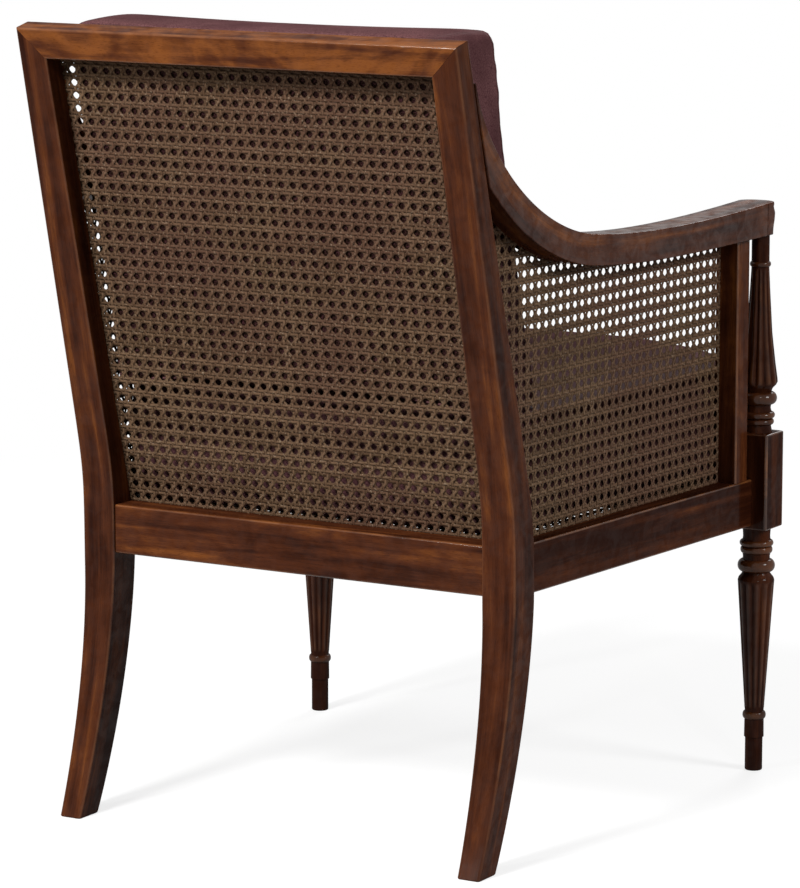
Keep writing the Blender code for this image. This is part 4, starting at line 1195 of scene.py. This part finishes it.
def inside_runs(start, direction, outline):
    """Stretches of a line that lie inside an outline, as (from, to) along the direction."""
    hits = []
    for (x0, y0), (x1, y1) in zip(outline, outline[1:] + outline[:1]):
        ex, ey = x1 - x0, y1 - y0
        cross = direction[0] * ey - direction[1] * ex
        if abs(cross) < 1e-12:
            continue
        dx, dy = x0 - start[0], y0 - start[1]
        share = (dx * direction[1] - dy * direction[0]) / cross
        if 0.0 <= share < 1.0:
            hits.append((dx * ey - dy * ex) / cross)
    hits.sort()
    return [(a, b) for a, b in zip(hits[::2], hits[1::2]) if b - a > STRAND_LEAST_LENGTH]


def strands(outline):
    """(points, run, rise) of each strand that crosses an outline in a panel's plane."""
    pitch = CANE_PITCH
    low = [min(point[i] for point in outline) for i in (0, 1)]
    high = [max(point[i] for point in outline) for i in (0, 1)]
    found = []

    def lay(start, direction, first, step, run, rise, level=0.0):
        for a, b in inside_runs(start, direction, outline):
            count = math.ceil((a - first) / step + STRAND_END_SHARE)
            stops = [a]
            while first + count * step < b - STRAND_END_SHARE * step:
                stops.append(first + count * step)
                count += 1
            stops.append(b)
            points = [(start[0] + t * direction[0], start[1] + t * direction[1], level) for t in stops]
            found.append((points, run, rise))

    for side in (-1, 1):
        for k in range(math.floor(low[0] / pitch) - 1, math.ceil(high[0] / pitch) + 2):
            x = k * pitch + side * PAIR_HALF
            lay((x, 0.0), (0.0, 1.0), pitch / 4, pitch / 2, (0.0, 1.0, 0.0), -side * PAIR_LIFT)
        for k in range(math.floor(low[1] / pitch) - 1, math.ceil(high[1] / pitch) + 2):
            y = k * pitch + side * PAIR_HALF
            lay((0.0, y), (1.0, 0.0), pitch / 4, pitch / 2, (1.0, 0.0, 0.0), side * PAIR_LIFT, CROSS_LEVEL)
        reach = [side * low[0], side * high[0]]
        first = math.floor((low[1] - max(reach)) / pitch) - 1
        last = math.ceil((high[1] - min(reach)) / pitch) + 1
        for k in range(first, last + 1):
            y = (k + 0.5) * pitch
            lay((0.0, y), (1.0, side), 0.0, pitch / 2, (1.0, 0.0, math.pi / 2), side * DIAGONAL_LIFT)
    return found


def cane_panel(name, node, outline, place):
    """A woven panel. The outline is in the panel's plane, and place puts that plane on the chair."""
    points, edges, run, rise, strand = [], [], [], [], []
    shades = np.random.default_rng(STRAND_SEED)
    for line, way, height in strands(outline):
        shade = shades.random()
        for i, point in enumerate(line):
            if i:
                edges.append((len(points) - 1, len(points)))
            points.append(point)
            run.append(way)
            rise.append(height)
            strand.append(shade)
    data = bpy.data.meshes.new(name)
    data.from_pydata(points, edges, [])
    set_values(data, "run", "FLOAT_VECTOR", run)
    set_values(data, "rise", "FLOAT", rise)
    set_values(data, "strand", "FLOAT", strand)
    woven = grown(name + "_lines", data, CANE_WEAVE, {"Finish": CANE})
    woven.transform(place)
    outward(woven)
    return finish_piece(name, woven, CANE, "cane", node)


def plane_matrix(origin, across, upward):
    """Matrix from a panel's plane to the chair, with its outer face towards the panel's own +Z."""
    facing = across.cross(upward)
    matrix = Matrix((across, upward, facing)).transposed().to_4x4()
    matrix.translation = origin
    return matrix


def back_cane():
    depth = BACK_CANE_DEPTH + CANE_THICKNESS / 2
    across = Vector((-1.0, 0.0, 0.0))
    upward = Vector((0.0, RAKE_SINE, RAKE_COSINE))
    bottom_z = SEAT_RAIL_TOP - CANE_GROOVE
    origin = Vector((0.0, raked_y(SEAT_RAIL_TOP, depth), SEAT_RAIL_TOP))
    top_z = raked(0.0, 0.0, CREST_FACE - CREST_CANE_LAP)[2]
    outline = []
    for x, z in (
        (BACK_CANE_HALF_WIDTH, bottom_z), (-BACK_CANE_HALF_WIDTH, bottom_z),
        (-BACK_CANE_HALF_WIDTH, top_z), (BACK_CANE_HALF_WIDTH, top_z),
    ):
        spot = Vector((x, raked_y(z, depth), z)) - origin
        outline.append((spot.dot(across), spot.dot(upward)))
    cane_panel("back_cane_weave", "back_cane", outline, plane_matrix(origin, across, upward))


def side_cane(hand, side):
    lap = CANE_GROOVE
    bottom = SEAT_RAIL_TOP - lap
    front = SIDE_STILE_BACK_Y - lap
    upper = [point for point in arm_line(lap) if point.x > front]
    top = upper[0].y
    edge = [(front, bottom), (front, arm_underside(front) + lap)]
    edge += [(point.x, point.y) for point in reversed(upper)]
    for z in spread(top, bottom, SIDE_CANE_STEPS):
        edge.append((leg_front(z) + lap, z))
    origin = Vector((side * side_cane_x(SIDE_STILE_BACK_Y), SIDE_STILE_BACK_Y, SEAT_RAIL_TOP))
    end = Vector((side * side_cane_x(SIDE_RAIL_REAR_Y), SIDE_RAIL_REAR_Y, SEAT_RAIL_TOP))
    across = (end - origin).normalized() * side
    upward = Vector((0.0, 0.0, 1.0))
    outline = []
    for y, z in edge:
        spot = Vector((side * side_cane_x(y), y, z)) - origin
        outline.append((spot.dot(across), spot.dot(upward)))
    place = plane_matrix(origin, across, upward)
    cane_panel("side_cane_%s_weave" % hand, "side_cane_" + hand, outline, place)


def seat_cane():
    front = FRONT_RAIL_BACK - SEAT_CANE_LAP
    notch = SIDE_RAIL_REAR_Y - CLEARANCE
    rear = REAR_RAIL_FRONT + SEAT_CANE_LAP
    inner = LEG_INNER_X - 2 * CLEARANCE
    half = [
        (side_rail_inner(front) + SEAT_CANE_LAP, front), (side_rail_inner(notch) + SEAT_CANE_LAP, notch),
        (inner, notch), (inner, rear),
    ]
    outline = half + [(-x, y) for x, y in reversed(half)]
    origin = Vector((0.0, 0.0, SEAT_CANE_BOTTOM + CANE_THICKNESS / 2))
    place = plane_matrix(origin, Vector((1.0, 0.0, 0.0)), Vector((0.0, 1.0, 0.0)))
    cane_panel("seat_cane_weave", "seat_cane", outline, place)


# Cushions

def corner(u, v, share):
    """Draws the corners of a cushion in by a share, so that they are rounded."""
    return 1 - share * (u * v) ** CUSHION_CORNER_POWER


def drawn(v):
    """Draws the side of a cushion in between its corners."""
    return 1 - CUSHION_DRAW * (1 - v * v)


def swell(through):
    """Draws a cushion's band in towards both of its seams."""
    return 1 - CUSHION_BULGE * (2 * through - 1) ** 2


def seat_cushion_top(u, v):
    seam = SEAT_CUSHION_WALL + SEAT_CUSHION_SEAM_RISE * (1 - u ** 4)
    return SEAT_CUSHION_BOTTOM + seam + SEAT_CUSHION_CROWN * (1 - u * u) * (1 - v * v)


def seat_cushion_place(u, v, through):
    scale = corner(u, v, SEAT_CUSHION_CORNER) * swell(through)
    middle = (SEAT_CUSHION_FRONT_Y + SEAT_CUSHION_REAR_Y) / 2
    y = middle + v * drawn(u) * scale * (SEAT_CUSHION_REAR_Y - SEAT_CUSHION_FRONT_Y) / 2
    half = side_cane_x(y) - SEAT_CUSHION_SIDE_GAP
    z = SEAT_CUSHION_BOTTOM + through * (seat_cushion_top(u, v) - SEAT_CUSHION_BOTTOM)
    return Vector((u * drawn(v) * scale * half, y, z))


def back_cushion_bottom():
    """Height of the seat cushion where the back cushion's lower front edge stands on it."""
    y = raked_y(seat_cushion_top(0.0, 1.0), BACK_CUSHION_REST + BACK_CUSHION_WALL)
    v = between(y, -1.0, 1.0, SEAT_CUSHION_FRONT_Y, SEAT_CUSHION_REAR_Y)
    return seat_cushion_top(0.0, min(max(v, 0.0), 1.0)) + CLEARANCE


BACK_CUSHION_BOTTOM = back_cushion_bottom()


def back_cushion_floor(x, through):
    """Height at which the back cushion stands on the seat cushion, which falls away to its sides and rear."""
    share = x / (side_cane_x(SEAT_CUSHION_REAR_Y) - SEAT_CUSHION_SIDE_GAP)
    fall = SEAT_CUSHION_SEAM_RISE * share ** 4 + BACK_CUSHION_FOOT_FALL * (1 - through)
    return BACK_CUSHION_BOTTOM - fall


def back_cushion_place(u, v, through):
    share = BACK_CUSHION_FOOT_CORNER
    if v > 0:
        share = BACK_CUSHION_REAR_CORNER + (BACK_CUSHION_CORNER - BACK_CUSHION_REAR_CORNER) * through
    scale = corner(u, v, share) * swell(through)
    floor = back_cushion_floor(u * BACK_CANE_HALF_WIDTH, through)
    rise = HEIGHT + BACK_CUSHION_RISE + BACK_CUSHION_LEAN * u - BACK_CUSHION_SAG * (1 - u * u) - floor
    z = floor + rise * (1 + v * (scale if v > 0 else 1.0)) / 2
    thickness = BACK_CUSHION_WALL + BACK_CUSHION_CROWN * (1 - u * u) * (1 - v * v)
    y = raked_y(z, BACK_CUSHION_REST + through * thickness)
    half = min(arm_faces(y)[1], BACK_CANE_HALF_WIDTH) - BACK_CUSHION_SIDE_GAP
    return Vector((u * drawn(v) * scale * half + BACK_CUSHION_SHIFT, y, z))


def cushion_edge(cells):
    """Steps across a cushion, closer at its corners, and the (u, v) points round it."""
    even = spread(-1.0, 1.0, cells)
    crowded = [math.sin(math.pi / 2 * step) for step in even]
    share = CUSHION_EVEN_SHARE
    steps = [share * a + (1 - share) * b for a, b in zip(even, crowded)]
    edge = [(step, -1.0) for step in steps[:-1]]
    edge += [(1.0, step) for step in steps[:-1]]
    edge += [(step, 1.0) for step in steps[:0:-1]]
    edge += [(-1.0, step) for step in steps[:0:-1]]
    return steps, edge


def cushion_form(place):
    """A closed boxed form: crowned face, band and flat face."""
    steps, edge = cushion_edge(CUSHION_CELLS)
    mesh = bmesh.new()
    rings = []
    for band in range(CUSHION_BANDS + 1):
        rings.append([mesh.verts.new(place(*spot, band / CUSHION_BANDS)) for spot in edge])
    for low, high in zip(rings, rings[1:]):
        for i in range(len(edge)):
            j = (i + 1) % len(edge)
            mesh.faces.new((low[i], low[j], high[j], high[i]))
    for through, ring in ((0.0, rings[0]), (1.0, rings[-1])):
        face = dict(zip(edge, ring))
        for u in steps[1:-1]:
            for v in steps[1:-1]:
                face[u, v] = mesh.verts.new(place(u, v, through))
        for u0, u1 in zip(steps, steps[1:]):
            for v0, v1 in zip(steps, steps[1:]):
                mesh.faces.new((face[u0, v0], face[u1, v0], face[u1, v1], face[u0, v1]))
    bmesh.ops.recalc_face_normals(mesh, faces=mesh.faces)
    return mesh


def applied(piece):
    """Turns a piece's modifiers into its mesh."""
    graph = bpy.context.evaluated_depsgraph_get()
    data = bpy.data.meshes.new_from_object(piece.evaluated_get(graph))
    piece.modifiers.clear()
    piece.data = data


def points_of(data):
    values = np.empty(len(data.vertices) * 3, np.float32)
    data.vertices.foreach_get("co", values)
    return values.reshape(-1, 3).astype(float)


def stuffed(name, node, place, keep_clear, painted_shade_mask):
    """A leather cushion, blown up a little from its sewn form and then held by its neighbours.
    Its last argument gives the painted shade: 1 where the leather lies against the caning or underneath."""
    mesh = cushion_form(place)
    data = bpy.data.meshes.new(name)
    mesh.to_mesh(data)
    mesh.free()
    piece = bpy.data.objects.new(name, data)
    bpy.context.scene.collection.objects.link(piece)
    remesh = piece.modifiers.new("sewn", "REMESH")
    remesh.mode = "VOXEL"
    remesh.voxel_size = CUSHION_VOXEL
    applied(piece)
    rest = points_of(piece.data)
    seams = []
    for through in (0.0, 1.0):
        seams.append([place(*spot, through) for spot in cushion_edge(SEAM_CELLS)[1]])
    tree = KDTree(sum(len(seam) for seam in seams))
    for index, spot in enumerate(spot for seam in seams for spot in seam):
        tree.insert(spot, index)
    tree.balance()
    away = np.array([tree.find(point)[2] for point in rest])
    group = piece.vertex_groups.new(name="seam")
    for index, distance in enumerate(away):
        hold = float(np.clip(SEAM_HOLD - distance / SEAM_HOLD_REACH, 0.0, 1.0))
        group.add([index], hold, "REPLACE")
    cloth = piece.modifiers.new("stuffing", "CLOTH")
    settings = cloth.settings
    settings.quality = 5
    settings.mass = 0.3
    settings.tension_stiffness = 22
    settings.compression_stiffness = 22
    settings.shear_stiffness = 8
    settings.bending_stiffness = 0.8
    settings.use_pressure = True
    settings.uniform_pressure_force = 4.0
    settings.effector_weights.gravity = 0
    settings.vertex_group_mass = "seam"
    cloth.collision_settings.use_collision = False
    cloth.collision_settings.use_self_collision = False
    cloth.point_cache.frame_start = 1
    cloth.point_cache.frame_end = STUFFING_FRAMES
    scene = bpy.context.scene
    for step in range(1, STUFFING_FRAMES + 1):
        scene.frame_set(step)
    applied(piece)
    scene.frame_set(1)
    moved = points_of(piece.data) - rest
    length = np.linalg.norm(moved, axis=1)
    share = CUSHION_SWELL * np.tanh(length / CUSHION_SWELL) / np.maximum(length, 1e-9)
    points = rest + moved * share[:, None]
    points = keep_clear(points)
    piece.data.vertices.foreach_set("co", points.astype(np.float32).ravel())
    even = piece.modifiers.new("even", "SMOOTH")
    even.factor = SMOOTHING
    even.iterations = SMOOTHING_PASSES
    finer = piece.modifiers.new("finer", "SUBSURF")
    finer.levels = finer.render_levels = 1
    applied(piece)
    points = points_of(piece.data)
    away = np.array([tree.find(point)[2] for point in points])
    set_values(piece.data, "rub", "FLOAT", np.exp(-(away / SEAM_RUB_REACH) ** 2) * SEAM_RUB)
    set_values(piece.data, "painted_shade", "FLOAT", painted_shade_mask(points))
    piece.data.shade_smooth()
    data = piece.data
    bpy.data.objects.remove(piece)
    piece = finish_piece(name, data, LEATHER, "leather", node)
    return piece, seams


def seat_limits(points):
    """Keeps the seat cushion clear of the frame and caning, pressed down under the back cushion."""
    x, y, z = points.T
    z = np.maximum(z, SEAT_CUSHION_BOTTOM + CLEARANCE)
    limit = side_cane_x(y) - SEAT_CUSHION_CANE_GAP
    x = np.clip(x, -limit, limit)
    rest = raked_y(z, BACK_CUSHION_REST)
    through = np.clip((rest - y) / BACK_CUSHION_WALL, 0.0, None)
    pressed = back_cushion_floor(x, np.minimum(through, 1.0)) - CLEARANCE
    z = np.minimum(z, pressed + np.maximum(through - 1.0, 0.0) * BACK_CUSHION_WALL)
    by_leg = np.abs(x) > LEG_INNER_X - SEAT_CUSHION_LEG_REACH
    open_rear = SEAT_CUSHION_REAR_Y + SEAT_CUSHION_REAR_SWELL
    rear = np.where(by_leg, REAR_RAIL_FRONT - SEAT_CUSHION_LEG_GAP, open_rear)
    y = np.clip(y, BLOCK_FRONT + SEAT_CUSHION_BLOCK_GAP, rear)
    return np.column_stack((x, y, z))


def seat_painted_shade(points):
    """Painted shade: 1 under the seat cushion, and somewhat less close to the side caning."""
    x, y, z = points.T
    gap = side_cane_x(y) - np.abs(x)
    under = (z < SEAT_CUSHION_BOTTOM + SEAT_PAINTED_SHADE_HEIGHT).astype(float)
    return np.maximum(under, np.clip((SEAT_PAINTED_SHADE_GAP - gap) / SEAT_PAINTED_SHADE_FADE, 0.0, SEAT_PAINTED_SHADE_SIDE))


def back_painted_shade(points):
    """Painted shade: 1 on the rear face of the back cushion, which lies against the caning."""
    _, y, z = points.T
    return (y > raked_y(z, BACK_CUSHION_REST + BACK_PAINTED_SHADE_DEPTH)).astype(float)


def back_limits(points):
    """Keeps the back cushion clear of the caning, the frame and the seat cushion."""
    x, y, z = points.T
    rest = raked_y(z, BACK_CUSHION_REST)
    y = np.minimum(y, rest)
    z = np.maximum(z, back_cushion_floor(x, np.clip((rest - y) / BACK_CUSHION_WALL, 0.0, 1.0)))
    limit = np.minimum([arm_faces(value)[1] for value in y], BACK_CANE_HALF_WIDTH) - BACK_CUSHION_FRAME_GAP
    x = np.clip(x, -limit, limit)
    return np.column_stack((x, y, z))


def piping_tree():
    """Geometry nodes that sew a round piping along a closed line."""
    tree, graph, given, made = node_group(
        "seam_piping", "GeometryNodeTree",
        [
            ("Seam", "Geometry"), ("Radius", "Float", PIPING_RADIUS), ("Step", "Float", PIPING_STEP),
            ("Finish", "Material"),
        ],
        [("Piping", "Geometry")],
    )
    tree.is_modifier = True
    line = graph.put("GeometryNodeMeshToCurve", {"Mesh": given.outputs["Seam"]})
    stepped = {"Curve": line, "Length": given.outputs["Step"]}
    even = graph.put("GeometryNodeResampleCurve", stepped, mode="LENGTH")
    circle = {"Resolution": PIPING_POINTS, "Radius": given.outputs["Radius"]}
    section = graph.put("GeometryNodeCurvePrimitiveCircle", circle)
    tube = graph.put("GeometryNodeCurveToMesh", {"Curve": even, "Profile Curve": section})
    graph.feed(made, "Piping", settled(graph, tube, True, given.outputs["Finish"]))
    return tree


SEAM_PIPING = piping_tree()


def piping(name, cushion, seams):
    """Piping that lies on a cushion's seams, sunk a little into its surface."""
    surface = BVHTree.FromObject(cushion, bpy.context.evaluated_depsgraph_get())
    points, edges = [], []
    for seam in seams:
        first = len(points)
        for spot in seam:
            near, normal, _, _ = surface.find_nearest(spot + CENTRING)
            points.append(near - CENTRING - normal * PIPING_SINK)
        edges += [(i, i + 1) for i in range(first, len(points) - 1)] + [(len(points) - 1, first)]
    data = bpy.data.meshes.new(name)
    data.from_pydata(points, edges, [])
    tube = grown(name + "_line", data, SEAM_PIPING, {"Finish": LEATHER})
    outward(tube)
    set_values(tube, "rub", "FLOAT", np.full(len(tube.vertices), PIPING_RUB))
    set_values(tube, "painted_shade", "FLOAT", np.zeros(len(tube.vertices)))
    finish_piece(name, tube, LEATHER, "leather")


# Assembly

crest_rail()
cross_rail("rear_rail_wood", "rear_seat_rail", REAR_RAIL_FRONT, REAR_RAIL_BACK, LEG_INNER_X - CLEARANCE)
cross_rail("front_rail_wood", "front_seat_rail", FRONT_RAIL_FRONT, FRONT_RAIL_BACK, BLOCK_INNER_X - CLEARANCE)
for side, hand in ((1, "left"), (-1, "right")):
    rear_leg(hand, side)
    front_leg(hand, side)
    side_rail(hand, side)
    arm(hand, side)
    side_stile(hand, side)
    side_cane(hand, side)
back_cane()
seat_cane()

for cushion, place, limits, painted_shade_mask in (
    ("seat_cushion", seat_cushion_place, seat_limits, seat_painted_shade),
    ("back_cushion", back_cushion_place, back_limits, back_painted_shade),
):
    leather, seams = stuffed(cushion + "_leather", cushion, place, limits, painted_shade_mask)
    piping(cushion + "_piping", leather, seams)

# The joinery that no piece here replaces is shown as its own solid
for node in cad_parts.values():
    if not node.hide_render:
        node.data.materials.clear()
        node.data.materials.append(BEECH)


# Floor, light and camera

def white_to_the_eye(graph):
    """1 for rays from the camera, from gloss and through glass."""
    path = graph.add("ShaderNodeLightPath")
    seen = graph.math("MAXIMUM", path.outputs["Is Camera Ray"], path.outputs["Is Glossy Ray"])
    return graph.math("MAXIMUM", seen, path.outputs["Is Transmission Ray"])


def pale_floor():
    material, graph, shader = shaded("pale_floor")
    shader.inputs["Roughness"].default_value = 0.9
    shader.inputs["Specular IOR Level"].default_value = 0.0
    shader.inputs["Emission Color"].default_value = colour(1.0, 1.0, 1.0)
    away = graph.add("ShaderNodeVectorMath", {0: graph.place()}, operation="LENGTH").outputs["Value"]
    far = graph.ease(away, FLOOR_FADE_START, FLOOR_FADE_END)
    graph.feed(shader, "Base Color", graph.blend(far, colour(0.30, 0.30, 0.30), colour(0.0, 0.0, 0.0)))
    glow = graph.ease(far, 0.0, 1.0, FLOOR_GLOW, 1.0)
    graph.feed(shader, "Emission Strength", graph.math("MULTIPLY", white_to_the_eye(graph), glow))
    data = bpy.data.meshes.new("floor")
    corners = [(x * FLOOR_REACH, y * FLOOR_REACH, 0) for x, y in ((-1, -1), (1, -1), (1, 1), (-1, 1))]
    data.from_pydata(corners, [], [(0, 1, 2, 3)])
    data.materials.append(material)
    floor = bpy.data.objects.new("floor", data)
    bpy.context.scene.collection.objects.link(floor)


def studio_world():
    world = bpy.data.worlds.new("studio")
    world.use_nodes = True
    bpy.context.scene.world = world
    graph = Graph(world.node_tree)
    background = world.node_tree.nodes["Background"]
    background.inputs["Color"].default_value = colour(1.0, 1.0, 1.0)
    seen = graph.math("MULTIPLY", white_to_the_eye(graph), 1.0 - AMBIENT)
    graph.feed(background, "Strength", graph.math("ADD", seen, AMBIENT))


def soft_box(name, place, target, size, energy):
    light = bpy.data.lights.new(name, "AREA")
    light.shape = "DISK"
    light.size = size
    light.energy = energy
    lamp = bpy.data.objects.new(name, light)
    lamp.location = place
    lamp.rotation_mode = "QUATERNION"
    lamp.rotation_quaternion = (Vector(target) - Vector(place)).to_track_quat("-Z", "Y")
    bpy.context.scene.collection.objects.link(lamp)


def photo_camera():
    camera = bpy.data.cameras.new("camera")
    camera.lens = CAMERA_LENS
    camera.sensor_width = CAMERA_SENSOR
    camera.clip_end = CAMERA_RANGE
    holder = bpy.data.objects.new("camera", camera)
    holder.location = CAMERA_PLACE
    holder.rotation_mode = "QUATERNION"
    holder.rotation_quaternion = Vector(CAMERA_LOOK).to_track_quat("-Z", "Y")
    bpy.context.scene.collection.objects.link(holder)
    bpy.context.scene.camera = holder


pale_floor()
studio_world()
for lamp in LAMPS:
    soft_box(*lamp)
photo_camera()
bpy.context.scene.view_settings.view_transform = "Standard"
